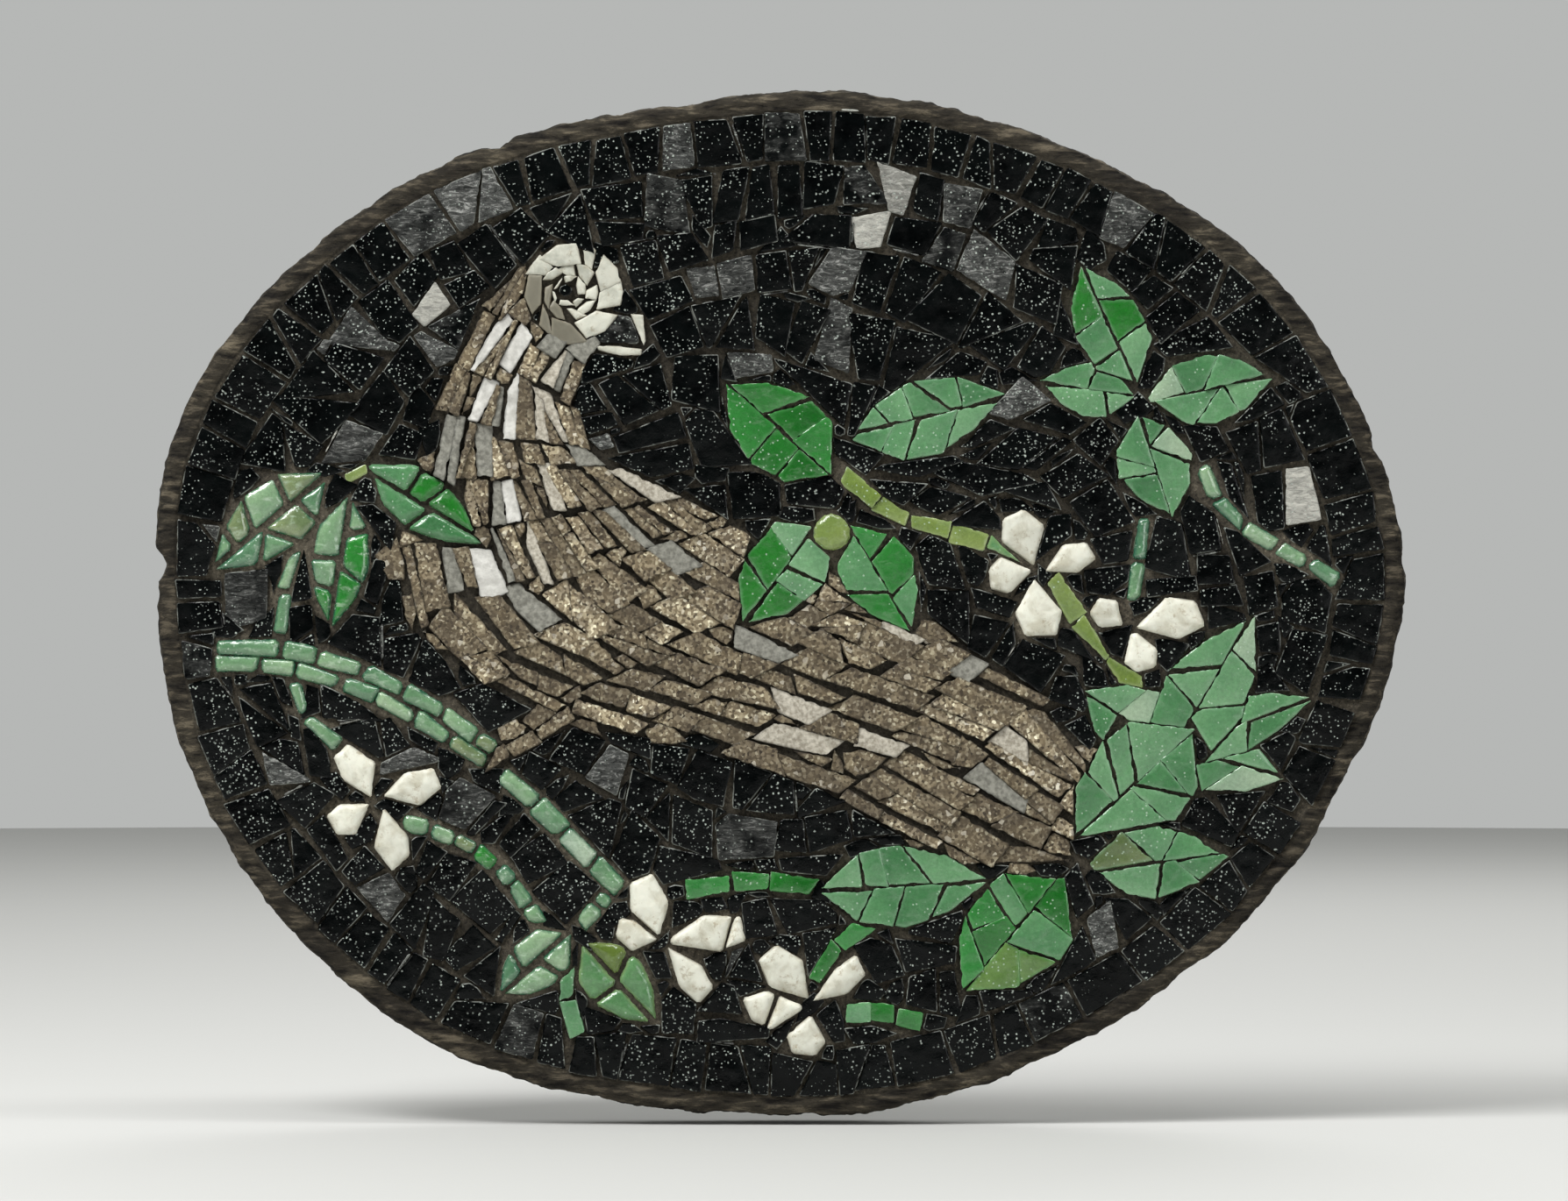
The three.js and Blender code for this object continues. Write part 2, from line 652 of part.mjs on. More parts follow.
function mortarSlab() {
  const positions = [];
  const index = [];
  RIM_PROFILE.forEach(([inwards, depth]) => ring(inwards).forEach((p) => positions.push(p.x, p.y, depth)));
  const count = RIM_SPOKES;
  for (let level = 0; level < RIM_PROFILE.length - 1; level++) {
    for (let i = 0; i < count; i++) {
      const [a, b] = [level * count + i, level * count + ((i + 1) % count)];
      index.push(a, b, b + count, a, b + count, a + count);
    }
  }
  const last = (RIM_PROFILE.length - 1) * count;
  for (let i = 1; i < count - 1; i++) {
    index.push(0, i + 1, i);
    index.push(last, last + i, last + i + 1);
  }
  const geometry = new THREE.BufferGeometry()
    .setAttribute("position", new THREE.Float32BufferAttribute(positions, 3))
    .setIndex(index);
  return solid(geometry);
}

// ---------------------------------------------------------------- assembly

const panel = new THREE.Group();
panel.name = "mosaic_panel";
panel.add(mesh("mortar_slab", mortarSlab(), "mortar"));

// Each figure's field of mortar stops short of the fields laid before it.
const taken = [];
let fieldsLaid = null;
for (const { name, colour, fields, cells, lift, smallest } of FIGURES) {
  const tiles = lay(cells.map(inOrder), taken, smallest);
  const whole = mortarField(fields, 0);
  const field = fieldsLaid ? whole.subtract(fieldsLaid) : whole;
  const blocks = tiles.map((tile) => tessera(tile, FIGURE_JOINT, lift));
  bodies(unite([field, ...blocks]), 25).forEach((part, i) => {
    panel.add(mesh(i ? `${name}_${i + 1}` : name, part, colour));
  });
  taken.push(...fields.map(inOrder), ...tiles);
  const margin = mortarField(fields, SEAM);
  fieldsLaid = fieldsLaid ? fieldsLaid.add(margin) : margin;
}

// The ground's mortar runs on under the figures, which lie on it.
const [border, ...inner] = groundRows();
const tiles = lay([...border, ...disturbed(inner.flat())].map(inOrder), taken, SMALLEST_GROUND);
tiles.push(...fillers(tiles, taken));
const plate = solid(slab(ring(RIM_WIDTH), BED + SEAM, GROUND_JOINT));
const ground = unite([plate, ...tiles.map((tile) => tessera(tile, GROUND_JOINT))]);
panel.add(mesh("black_ground", ground, "black"));

export default panel;
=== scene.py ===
"""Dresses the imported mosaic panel: every tessera becomes a chipped piece of glass or stone in rough mortar.

Lengths are millimetres until a mesh is made. A point of the picture is (x, z), and depth runs from the
wall (0) towards the viewer, so a vertex is (x, -depth, z).
"""

import json
import math
from collections import namedtuple
from functools import partialmethod
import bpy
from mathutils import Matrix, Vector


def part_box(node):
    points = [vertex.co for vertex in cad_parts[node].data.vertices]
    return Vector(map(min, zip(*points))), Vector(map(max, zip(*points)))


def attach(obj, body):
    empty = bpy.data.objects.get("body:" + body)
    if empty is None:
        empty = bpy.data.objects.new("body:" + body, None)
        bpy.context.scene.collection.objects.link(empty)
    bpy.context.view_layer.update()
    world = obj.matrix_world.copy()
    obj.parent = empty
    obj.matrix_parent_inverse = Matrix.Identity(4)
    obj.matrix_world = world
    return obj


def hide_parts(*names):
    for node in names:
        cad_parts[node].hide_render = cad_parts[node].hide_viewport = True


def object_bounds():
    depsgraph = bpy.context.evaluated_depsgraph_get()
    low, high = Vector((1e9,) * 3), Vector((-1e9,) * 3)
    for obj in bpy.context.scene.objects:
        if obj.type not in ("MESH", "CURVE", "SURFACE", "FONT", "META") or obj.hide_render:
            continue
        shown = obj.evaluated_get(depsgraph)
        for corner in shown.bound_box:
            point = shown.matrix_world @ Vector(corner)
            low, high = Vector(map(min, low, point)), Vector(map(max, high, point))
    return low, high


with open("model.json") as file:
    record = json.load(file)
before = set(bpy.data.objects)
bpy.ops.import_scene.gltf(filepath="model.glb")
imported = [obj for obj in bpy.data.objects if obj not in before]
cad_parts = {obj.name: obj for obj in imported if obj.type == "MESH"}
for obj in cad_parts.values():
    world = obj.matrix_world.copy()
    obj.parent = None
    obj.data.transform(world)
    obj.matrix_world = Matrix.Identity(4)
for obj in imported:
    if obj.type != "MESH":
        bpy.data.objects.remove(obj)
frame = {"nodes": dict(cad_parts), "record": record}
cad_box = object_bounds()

from types import SimpleNamespace

import bpy
import numpy as np
from mathutils import Vector
from mathutils.geometry import delaunay_2d_cdt

MM = 0.001
rng = np.random.default_rng(11)

SLOT_OF = {part["node"]: part["material_slot"] for part in frame["record"]["subparts"]}
SLAB = "mortar_slab"
GROUND = "black_ground"
HEAD = ("bird_head", "beak_upper", "beak_lower")  # laid here, not read from the solids
STALKS = ("branch", "stem", "twig")

# Levels in the panel's depth, from the wall
FACE_FLOOR = 24.85  # every tessera's face lies nearer the viewer than this
FACE = 25.6  # mean level of the faces
MORTAR_LEVEL = 24.0  # mean level of the mortar between the tesserae
TILE_FOOT = 22.9  # how deep a tessera reaches into the mortar
JOINT = 1.1


# ---- noise

def hashed(ix, iy, seed):
    """A repeatable random number from 0 to 1 for each pair of whole numbers."""
    h = (ix.astype(np.int64) * 374761393 + iy.astype(np.int64) * 668265263 + seed * 2147483647) & 0xFFFFFFFF
    h = ((h ^ (h >> 13)) * 1274126177) & 0xFFFFFFFF
    h = ((h ^ (h >> 16)) * 2246822519) & 0xFFFFFFFF
    return ((h ^ (h >> 15)) & 0xFFFFFF) / 0xFFFFFF


def value_noise(x, y, seed):
    """Smooth noise from -1 to 1, with features about one unit across."""
    ix, iy = np.floor(x), np.floor(y)
    fx, fy = x - ix, y - iy
    ux, uy = fx * fx * (3 - 2 * fx), fy * fy * (3 - 2 * fy)
    low = hashed(ix, iy, seed) * (1 - ux) + hashed(ix + 1, iy, seed) * ux
    high = hashed(ix, iy + 1, seed) * (1 - ux) + hashed(ix + 1, iy + 1, seed) * ux
    return (low * (1 - uy) + high * uy) * 2 - 1


def rough_noise(x, y, octaves, seed):
    """Several layers of noise, each half the size and half the height of the last."""
    total, height, scale = 0, 1, 1
    for layer in range(octaves):
        total = total + height * value_noise(x * scale, y * scale, seed + layer)
        height, scale = height * 0.5, scale * 2.03
    return total / 1.75


# ---- polygons, convex and anticlockwise

def direction(angle):
    return np.array([math.cos(angle), math.sin(angle)])


def turning(angle):
    """The matrix that a row is multiplied by to turn it."""
    cos, sin = direction(angle)
    return np.array([[cos, sin], [-sin, cos]])


def polygon_area(polygon):
    x, y = polygon[:, 0], polygon[:, 1]
    return 0.5 * np.sum(x * np.roll(y, -1) - np.roll(x, -1) * y)


def edge_lines(polygon):
    """The unit direction and the outward normal of each edge."""
    along = np.roll(polygon, -1, axis=0) - polygon
    along = along / np.maximum(np.linalg.norm(along, axis=1, keepdims=True), 1e-9)
    return along, np.stack([along[:, 1], -along[:, 0]], axis=1)


def depth_inside(points, polygon):
    """How far inside a polygon each point lies; negative outside."""
    _, out = edge_lines(polygon)
    return -((points[:, None, :] - polygon[None]) * out[None]).sum(axis=2).max(axis=1)


def clip(polygon, point, normal):
    """What lies behind the line through a point."""
    side = (polygon - point) @ normal
    kept = []
    for i, here in enumerate(polygon):
        j = (i + 1) % len(polygon)
        if side[i] <= 0:
            kept.append(here)
        if side[i] * side[j] < 0:
            kept.append(here + (polygon[j] - here) * side[i] / (side[i] - side[j]))
    return np.array(kept).reshape(-1, 2)


def main_axis(polygon):
    """The direction a polygon is longest in, and its length and breadth."""
    centred = polygon - polygon.mean(axis=0)
    _, vectors = np.linalg.eigh(centred.T @ centred)
    axis = vectors[:, 1]
    across = np.array([-axis[1], axis[0]])
    return axis, np.ptp(centred @ axis), np.ptp(centred @ across)


def broken(polygon, point, normal, gap):
    """The two sides of a line through a point, with a joint between."""
    return [clip(polygon, point - sign * normal * gap / 2, sign * normal) for sign in (1, -1)]


def snapped(polygon, line, gap=JOINT * 0.8, off_centre=0.12):
    """A polygon broken in two near its middle."""
    axis, length, _ = main_axis(polygon)
    point = polygon.mean(axis=0) + axis * length * rng.uniform(-off_centre, off_centre)
    return broken(polygon, point, np.array([line[1], -line[0]]), gap)


def corner_off(polygon, size, gap):
    """A polygon with one corner broken off, and the corner."""
    corner = polygon[rng.integers(len(polygon))]
    to_middle = polygon.mean(axis=0) - corner
    to_middle = to_middle / max(np.linalg.norm(to_middle), 1e-6)
    normal = to_middle @ turning(rng.uniform(-0.5, 0.5))
    return broken(polygon, corner + normal * size, -normal, gap)


def hull(points):
    """Convex hull, anticlockwise."""
    ordered = sorted(map(tuple, points))

    def turns_back(a, b, c):
        return (b[0] - a[0]) * (c[1] - a[1]) <= (b[1] - a[1]) * (c[0] - a[0])

    def half(run):
        chain = []
        for p in run:
            while len(chain) > 1 and turns_back(chain[-2], chain[-1], p):
                chain.pop()
            chain.append(p)
        return chain[:-1]

    return np.array(half(ordered) + half(ordered[::-1]))


def grown(polygon, amount):
    """A polygon with each edge moved outwards; its sharpest corners don't run away."""
    _, out = edge_lines(polygon)
    bisector = np.roll(out, 1, axis=0) + out
    return polygon + bisector * amount / np.maximum((bisector**2).sum(axis=1)[:, None] / 2, 0.35)


def shaken(polygon, amount):
    """A polygon with its corners moved a little at random, and still convex."""
    return hull(polygon + rng.uniform(-amount, amount, polygon.shape))


def turned(polygon, angle):
    middle = polygon.mean(axis=0)
    return middle + (polygon - middle) @ turning(angle)


def about(spread, most):
    """A random number near 0, never further from it than the most."""
    return float(np.clip(rng.normal(0, spread), -most, most))


# ---- the tesserae, read from the solids

def front_faces(node):
    """The faces of a node's tesserae: a list of (polygon, plane), the plane as depth = a + b x + c z."""
    mesh = node.data
    points = np.empty(len(mesh.vertices) * 3, np.float32)
    mesh.vertices.foreach_get("co", points)
    points = points.reshape(-1, 3).astype(float) / MM
    weld = np.unique(np.round(points, 2), axis=0, return_inverse=True)[1].ravel().tolist()
    place, parent = dict(zip(weld, points)), {}

    def find(i):
        while parent[i] != i:
            i = parent[i]
        return i

    for face in mesh.polygons:
        corners = [weld[i] for i in face.vertices]
        if face.normal.y < -0.9 and min(-place[i][1] for i in corners) > FACE_FLOOR:
            for i in corners:
                parent.setdefault(i, i)
            for i in corners[1:]:
                parent[find(i)] = find(corners[0])
    groups = {}
    for i in parent:
        groups.setdefault(find(i), []).append(place[i])
    faces = []
    for group in groups.values():
        group = np.array(group)
        flat = group[:, [0, 2]]
        centred = flat - flat.mean(axis=0)
        order = np.argsort(np.arctan2(centred[:, 1], centred[:, 0]))
        terms = np.column_stack([np.ones(len(flat)), flat])
        plane = np.linalg.lstsq(terms, -group[:, 1], rcond=None)[0]
        faces.append((flat[order], plane))
    return sorted(faces, key=lambda face: tuple(face[0].mean(axis=0)))


def finer(node, polygon):
    """Breaks a large tessera into the smaller pieces that it stands for."""
    slot = SLOT_OF[node]
    area = polygon_area(polygon)
    axis, length, breadth = main_axis(polygon)
    across = np.array([-axis[1], axis[0]])
    x, z = polygon.mean(axis=0)
    if slot == "black_glass":
        if area > rng.uniform(170, 290):
            return snapped(polygon, across + axis * rng.uniform(-0.35, 0.35))
        if area > 90 and rng.random() < 0.22:
            return corner_off(polygon, rng.uniform(2.5, 5), JOINT * 0.8)
    elif slot == "brown_stone":
        neck = z > 15 and x < -25
        widest = rng.uniform(4.8, 6.6) if neck else rng.uniform(8, 11)
        if area > 45 and breadth > widest:
            return snapped(polygon, axis + across * rng.uniform(-0.22, 0.22), gap=0.4, off_centre=0.05)
        if length > rng.uniform(20, 40):
            return snapped(polygon, across + axis * rng.uniform(-0.9, 0.9), gap=0.4, off_centre=0.2)
    elif slot.endswith("_glass") and not node.startswith(STALKS) and area > rng.uniform(95, 190):
        return snapped(polygon, across + axis * rng.uniform(-0.6, 0.6), gap=0.6)
    return [polygon]


# How each kind of piece is laid: how far it spreads into its joints, how far its corners stray and its level
# varies, all in mm, and how much it leans
LAYING = {
    "black_glass": (0.12, 0.6, 0.35, 0.035),
    "brown_stone": (0.8, 0.75, 0.45, 0.05),
    "petal_marble": (0.1, 0.45, 0.3, 0.045),
}
LEAF_LAYING = (0.35, 0.5, 0.3, 0.045)
STALK_STRAY = 0.8

# Down the bird's body, along which its pieces overlap as shingles do
TAILWARDS = np.array([0.6, -0.8])


def is_soft(node):
    """Whether a node is of the thick glass with melted-looking edges."""
    return SLOT_OF[node] == "blue_green_glass" or node in ("leaf_over_neck", "bud", "leaf_bottom_olive")


def tessera(node, polygon, level, slopes=(0, 0), tone=None, chip=False):
    """A tessera, with a given level at its middle. The plane of its face is depth = a + b x + c z."""
    slopes = np.array(slopes)
    plane = np.array([level - slopes @ polygon.mean(axis=0), *slopes])
    return SimpleNamespace(node=node, slot=SLOT_OF[node], polygon=polygon, plane=plane, tone=tone, chip=chip)


def read_tesserae(radii):
    """Every tessera of the solids, the larger ones broken, apart from the bird's head."""
    found = []
    for node in sorted(set(frame["nodes"]) - {SLAB, *HEAD}):
        for whole, plane in front_faces(frame["nodes"][node]):
            pieces = finer(node, whole)
            if SLOT_OF[node] == "brown_stone":
                pieces = [half for piece in pieces if len(piece) > 2 for half in finer(node, piece)]
            for piece in pieces:
                if len(piece) > 2 and polygon_area(piece) > 4:
                    found.append(worn(node, piece, plane, radii))
    return found


def worn(node, polygon, plane, radii):
    """A tessera set a little askew, with its corners astray, near the plane of its solid."""
    slot = SLOT_OF[node]
    spread, stray, high, lean = LAYING.get(slot, LEAF_LAYING)
    if is_soft(node) and node.startswith("leaf"):
        spread = 0  # the leaves of thick glass stand apart in their mortar
    if slot == "brown_stone":
        spread *= 0.6 if main_axis(polygon)[2] < 7 else 1
        polygon = turned(polygon, about(0.05, 0.1))
    if node.startswith(STALKS):
        stray = STALK_STRAY
        polygon = turned(polygon, rng.uniform(-0.05, 0.05))
    if slot == "black_glass" and inside_field(polygon.mean(axis=0), radii, 17):
        polygon = turned(polygon, about(0.11, 0.2))
    small = polygon_area(polygon) < 30
    polygon = shaken(grown(polygon, spread), stray * (0.5 if small else 1))
    slope = rng.uniform(-lean, lean, 2)
    if slot == "brown_stone":
        axis, length, _ = main_axis(polygon)
        axis = axis * (1 if axis @ TAILWARDS > 0 else -1)
        slope = slope + axis * rng.uniform(0.2, 1.1) / max(length, 6)
    level = plane @ [1, *polygon.mean(axis=0)] + rng.uniform(-high, high)
    return tessera(node, polygon, level, plane[1:] + slope)


# ---- the bird's head

def flat_box(node):
    """The low and the high corner of a node in the picture, in mm."""
    return [np.array([corner[0], corner[2]]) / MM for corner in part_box(node)]


def head_chips():
    """Chips laid in three skewed rings round the eye, long ones outside and small ones inside."""
    low, high = flat_box("bird_head")
    eye_low, eye_high = flat_box("bird_eye")
    centre, eye = (low + high) / 2, (eye_low + eye_high) / 2
    outer, inner = (high - low).mean() / 2, (eye_high - eye_low).mean() / 2
    found = []
    # Each ring's two radii, how many chips it has, and how much they lean
    rings = (inner + 0.3, 5.6, 6, 0.2), (5.6, 9.6, 8, 0.34), (9.6, outer + 0.8, 9, 0.3)
    for start, end, count, skew in rings:
        turn = rng.uniform(0, math.tau)
        cuts = turn + (np.arange(count) + rng.uniform(-0.28, 0.28, count)) / count * math.tau
        for i in range(count):
            first, last = cuts[i], cuts[(i + 1) % count] + (math.tau if i == count - 1 else 0)
            lean = skew * rng.uniform(0.3, 1.5)
            corners = []
            for radius, lag in ((start + rng.uniform(-0.5, 0.3), 0.0), (end + rng.uniform(-0.7, 0.5), lean)):
                middle = eye + (centre - eye) * min(1, radius / outer)
                corners += [
                    middle + radius * direction(first + (last - first) * share + lag) for share in (0, 0.5, 1)
                ]
            polygon = shaken(grown(hull(corners), -0.28), 0.55)
            level = FACE + 0.2 + rng.uniform(-0.35, 0.45)
            slopes = rng.uniform(-0.09, 0.09, 2)
            tone = rng.uniform(0.35, 1)
            behind = (polygon.mean(axis=0) - centre) @ np.array([-0.85, -0.5]) / outer
            if behind > 0.42 and rng.random() < 0.85:
                tone = rng.uniform(0, 0.3)
            found.append(tessera("bird_head", polygon, level, slopes, tone=tone))
    return found


# The beak: a dark upper half, its pale hook, and a pale lower half. Each has its node, its tone and its
# corners, in mm from the eye's middle.
BEAK = [
    ("beak_upper", 0.36, [
        (8.2, -15.2), (11.5, -9.4), (16, -7.6), (20.6, -8.2), (23.6, -15.2), (23, -17), (12, -16.8),
    ]),
    ("beak_lower", 0.9, [(20.6, -7.4), (24.9, -7.6), (25.6, -16.5), (24.8, -17.8), (23.6, -14)]),
    ("beak_lower", 0.7, [(9.4, -17.4), (17, -17.6), (24.4, -18.6), (24.2, -20.6), (17, -20.8), (10.5, -19)]),
]


def with_beak(tesserae):
    """The tesserae with the beak's pieces, in place of the ground that lies under them."""
    eye = sum(flat_box("bird_eye")) / 2
    found = []
    for node, tone, corners in BEAK:
        found.append(tessera(node, hull(eye + np.array(corners)), FACE + rng.uniform(0.1, 0.4), tone=tone))

    def covered(tile):
        middle = tile.polygon.mean(axis=0)[None]
        return any(depth_inside(middle, piece.polygon)[0] > 0.3 for piece in found)

    return [tile for tile in tesserae if not covered(tile)] + found


# ---- chips that fill bare spots

CELL = 0.5  # mm, the grid on which bare spots are looked for
GRID_LOW = np.array([-200.0, -170.0])
GRID_SHAPE = (800, 680)
RAYS = 9  # looked along from a bare spot
RAY_STEP, RAY_REACH = 0.4, 7.5
LEAST_CHIP = 3.5  # mm2
SPOT_STEP = 1.6


def cell_of(point):
    return ((point - GRID_LOW) / CELL).round().astype(int)


def paint(grid, polygon, index):
    """Marks the cells that a polygon covers."""
    first = np.maximum(np.floor((polygon.min(axis=0) - GRID_LOW) / CELL).astype(int), 0)
    last = np.minimum(np.ceil((polygon.max(axis=0) - GRID_LOW) / CELL).astype(int) + 1, GRID_SHAPE)
    gx, gz = np.meshgrid(np.arange(first[0], last[0]), np.arange(first[1], last[1]), indexing="ij")
    points = np.column_stack([gx.ravel(), gz.ravel()]) * CELL + GRID_LOW
    inside = depth_inside(points, polygon).reshape(gx.shape) > 0
    grid[gx[inside], gz[inside]] = index


def covered_grid(tesserae):
    """Which tessera covers each cell; -1 for none."""
    grid = np.full(GRID_SHAPE, -1, int)
    for index, tile in enumerate(tesserae):
        paint(grid, tile.polygon, index)
    return grid


def free_shape(spot, grid, radii):
    """The open space round a spot, a joint away from its neighbours, and the tesserae that bound it."""
    turn = rng.uniform(0, math.tau)
    corners, hits = [], []
    for ray in range(RAYS):
        step = direction(turn + ray * math.tau / RAYS)
        reach, hit = 0.0, -1
        while reach < RAY_REACH and hit == -1:
            reach += RAY_STEP
            hit = grid[tuple(cell_of(spot + step * reach))]
            if not inside_field(spot + step * reach, radii, 0.8):
                break
        if reach < 1.5:
            return None, []
        corners.append(spot + step * (reach - 0.9))
        hits.append(hit)
    return hull(corners), [hit for hit in hits if hit != -1]


def fill_bare_spots(tesserae, radii):
    """Adds small chips wherever the mortar would lie bare over more than a chip's width."""
    grid = covered_grid(tesserae)
    spots = [(x, z) for x in np.arange(-194, 195, SPOT_STEP) for z in np.arange(-160, 161, SPOT_STEP)]
    rng.shuffle(spots)
    for x, z in spots:
        spot = np.array([x, z]) + rng.uniform(-0.5, 0.5, 2)
        if not inside_field(spot, radii, 2.4):
            continue
        polygon, hits = free_shape(spot, grid, radii)
        if polygon is None or not hits or polygon_area(polygon) < LEAST_CHIP:
            continue
        if any(depth_inside(polygon, tesserae[hit].polygon).max() > -0.2 for hit in hits):
            continue
        slots = [tesserae[hit].slot for hit in hits]
        in_bird = slots.count("brown_stone") == max(slots.count(slot) for slot in set(slots))
        if in_bird:
            polygon = grown(polygon, 0.4)
        level = FACE + rng.uniform(-0.5, -0.1)
        tesserae.append(tessera("bird_body" if in_bird else GROUND, polygon, level, chip=True))
        paint(grid, polygon, len(tesserae) - 1)


def add_slivers_and_highlight_lines(tesserae, count=34):
    """Thin pale splinters of glass pressed into the joints of the ground; they also serve as painted
    highlight lines along the tiles' edges.
    """
    ground = [tile for tile in tesserae if tile.slot == "black_glass" and polygon_area(tile.polygon) > 90]
    for _ in range(count):
        polygon = ground[rng.integers(len(ground))].polygon
        along, out = edge_lines(polygon)
        i = rng.integers(len(polygon))
        span = np.linalg.norm(polygon[(i + 1) % len(polygon)] - polygon[i])
        if span < 8:
            continue
        half, thick = span * rng.uniform(0.2, 0.5), rng.uniform(0.22, 0.45)
        middle = polygon[i] + along[i] * span * 0.5 + out[i] * 0.45
        line = along[i] + out[i] * rng.uniform(-0.04, 0.04)
        side = np.array([line[1], -line[0]])
        ends = ((-1, -0.7), (1, -1), (1.0, 0.6), (-0.9, 1))
        polygon = hull([middle + line * half * a + side * thick * b for a, b in ends])
        tesserae.append(tessera(GROUND, polygon, FACE + rng.uniform(-0.1, 0.35), tone=rng.uniform(0.5, 1.0)))


# ---- one tessera as a mesh

# How a kind of piece is cut, in mm: its edge's roundness, the roughness of its outline and of its face, its
# dome, the spacing of its points, and how far its corners are knocked off
Style = namedtuple("Style", "round nibble rough dome step corner")
STYLES = {
    "black_glass": Style(0.5, 0.34, 0.16, 0.06, 1.3, 0.5),
    "brown_stone": Style(0.4, 0.55, 0.28, 0.12, 0.9, 0.5),
    "head_marble": Style(0.55, 0.3, 0.16, 0.35, 0.6, 0.3),
    "beak_stone": Style(0.5, 0.3, 0.15, 0.4, 0.6, 0.6),
    "petal_marble": Style(1.2, 0.28, 0.24, 1.1, 0.7, 0.8),
}
GLASS = Style(0.45, 0.45, 0.16, 0.15, 0.9, 0.45)
SOFT_GLASS = Style(1.5, 0.35, 0.26, 0.9, 0.75, 1.3)
EDGE_BAND = 1.6  # mm from a piece's edge over which its edge attribute rises from 0 to 1


def cut_corners(polygon, amount):
    """Each corner replaced by two points, so that no corner is razor sharp."""
    points = []
    for i, corner in enumerate(polygon):
        for other in (polygon[i - 1], polygon[(i + 1) % len(polygon)]):
            span = np.linalg.norm(other - corner)
            share = min(amount * rng.uniform(0.5, 1.3), span * 0.3) / max(span, 1e-6)
            points.append(corner + (other - corner) * share)
    return np.array(points)


def resampled(polygon, step):
    """Points along a polygon's edge, at most a step apart."""
    points = []
    for here, there in zip(polygon, np.roll(polygon, -1, axis=0)):
        count = max(1, int(math.ceil(np.linalg.norm(there - here) / step)))
        points += [here + (there - here) * i / count for i in range(count)]
    return np.array(points)


def boundary(faces):
    """The outer edge of a patch of faces, as a ring of vertices."""
    directed = dict.fromkeys((a, b) for face in faces for a, b in zip(face, face[1:] + face[:1]))
    after = {a: b for a, b in directed if (b, a) not in directed}
    start = next(iter(after))
    ring, here = [start], after[start]
    while here != start and len(ring) <= len(after):
        ring.append(here)
        here = after[here]
    return ring


def tessera_mesh(tile):
    """A piece's vertices and faces, and for each vertex how far in it lies and its place across the piece."""
    style = STYLES.get(tile.slot, SOFT_GLASS if is_soft(tile.node) else GLASS)
    polygon = cut_corners(tile.polygon, style.corner * (0.4 if tile.chip else 1))
    outline = resampled(polygon, style.step * 0.85)
    middle = polygon.mean(axis=0)
    seed = int(rng.integers(1 << 20))
    tangent = np.roll(outline, -1, axis=0) - np.roll(outline, 1, axis=0)
    inward = np.column_stack([-tangent[:, 1], tangent[:, 0]])
    inward /= np.maximum(np.linalg.norm(inward, axis=1, keepdims=True), 1e-6)
    bite = np.clip(rough_noise(outline[:, 0] * 0.45, outline[:, 1] * 0.45, 3, seed) + 0.15, 0, None)
    outline = outline + inward * (bite * style.nibble * 1.6)[:, None]

    # Two rings of points follow the rounded edge, and a staggered grid fills the rest.
    points = [outline]
    widest = depth_inside(middle[None], polygon)[0]
    rounding = min(style.round, widest * 0.5)
    for share in (0.35, 1.0):
        ring = outline + inward * (rounding * share + 0.12)
        points.append(ring[depth_inside(ring, polygon) > rounding * share * 0.5])
    (low_x, low_z), (high_x, high_z) = polygon.min(axis=0), polygon.max(axis=0)
    step = style.step
    gx, gz = np.meshgrid(np.arange(low_x, high_x, step), np.arange(low_z, high_z, step * 0.87), indexing="ij")
    gx = gx + (np.arange(gx.shape[1])[None] % 2) * step * 0.5
    grid = np.column_stack([gx.ravel(), gz.ravel()]) + rng.uniform(-0.18, 0.18, (gx.size, 2)) * step
    points.append(grid[depth_inside(grid, polygon) > rounding + 0.12 + step * 0.55])
    loop = list(range(len(outline)))
    made = delaunay_2d_cdt([Vector(p) for p in np.vstack(points)], [], [loop], 1, 1e-5)
    flat = np.array([tuple(v) for v in made[0]])
    faces = [list(f) for f in made[2]]

    inside = np.maximum(depth_inside(flat, polygon), 0)
    near_edge = np.clip(inside / rounding, 0, 1)
    fall = rounding * (1 - np.sqrt(np.maximum(1 - (1 - near_edge) ** 2, 0)))
    swell = style.dome * (1 - (1 - np.clip(inside / max(widest, 1e-6), 0, 1)) ** 2)
    bumps = style.rough * rough_noise(flat[:, 0] * 0.35, flat[:, 1] * 0.35, 3, seed + 9)
    depth = tile.plane @ np.vstack([np.ones(len(flat)), flat[:, 0], flat[:, 1]]) - fall + swell * 0.9 + bumps

    # The walls run straight down into the mortar, and a last face closes the foot.
    ring, top = boundary(faces), len(flat)
    foot = flat[ring] + (middle - flat[ring]) * 0.02
    size = len(ring)
    vertices = np.vstack([
        np.column_stack([flat[:, 0], -depth, flat[:, 1]]),
        np.column_stack([foot[:, 0], np.full(size, -TILE_FOOT), foot[:, 1]]),
    ])
    faces += [[ring[(i + 1) % size], ring[i], top + i, top + (i + 1) % size] for i in range(size)]
    faces.append([top + i for i in range(size)][::-1])
    edge = np.concatenate([np.clip(inside / EDGE_BAND, 0, 1), np.zeros(size)])
    across = vertices[:, [0, 2]] @ direction(rng.uniform(0, math.tau))
    fade = (across - across.min()) / max(np.ptp(across), 1e-6)
    return vertices, faces, edge, fade


# ---- meshes and attributes

def add_object(name, data):
    made = bpy.data.objects.new(name, data)
    bpy.context.scene.collection.objects.link(made)
    return made


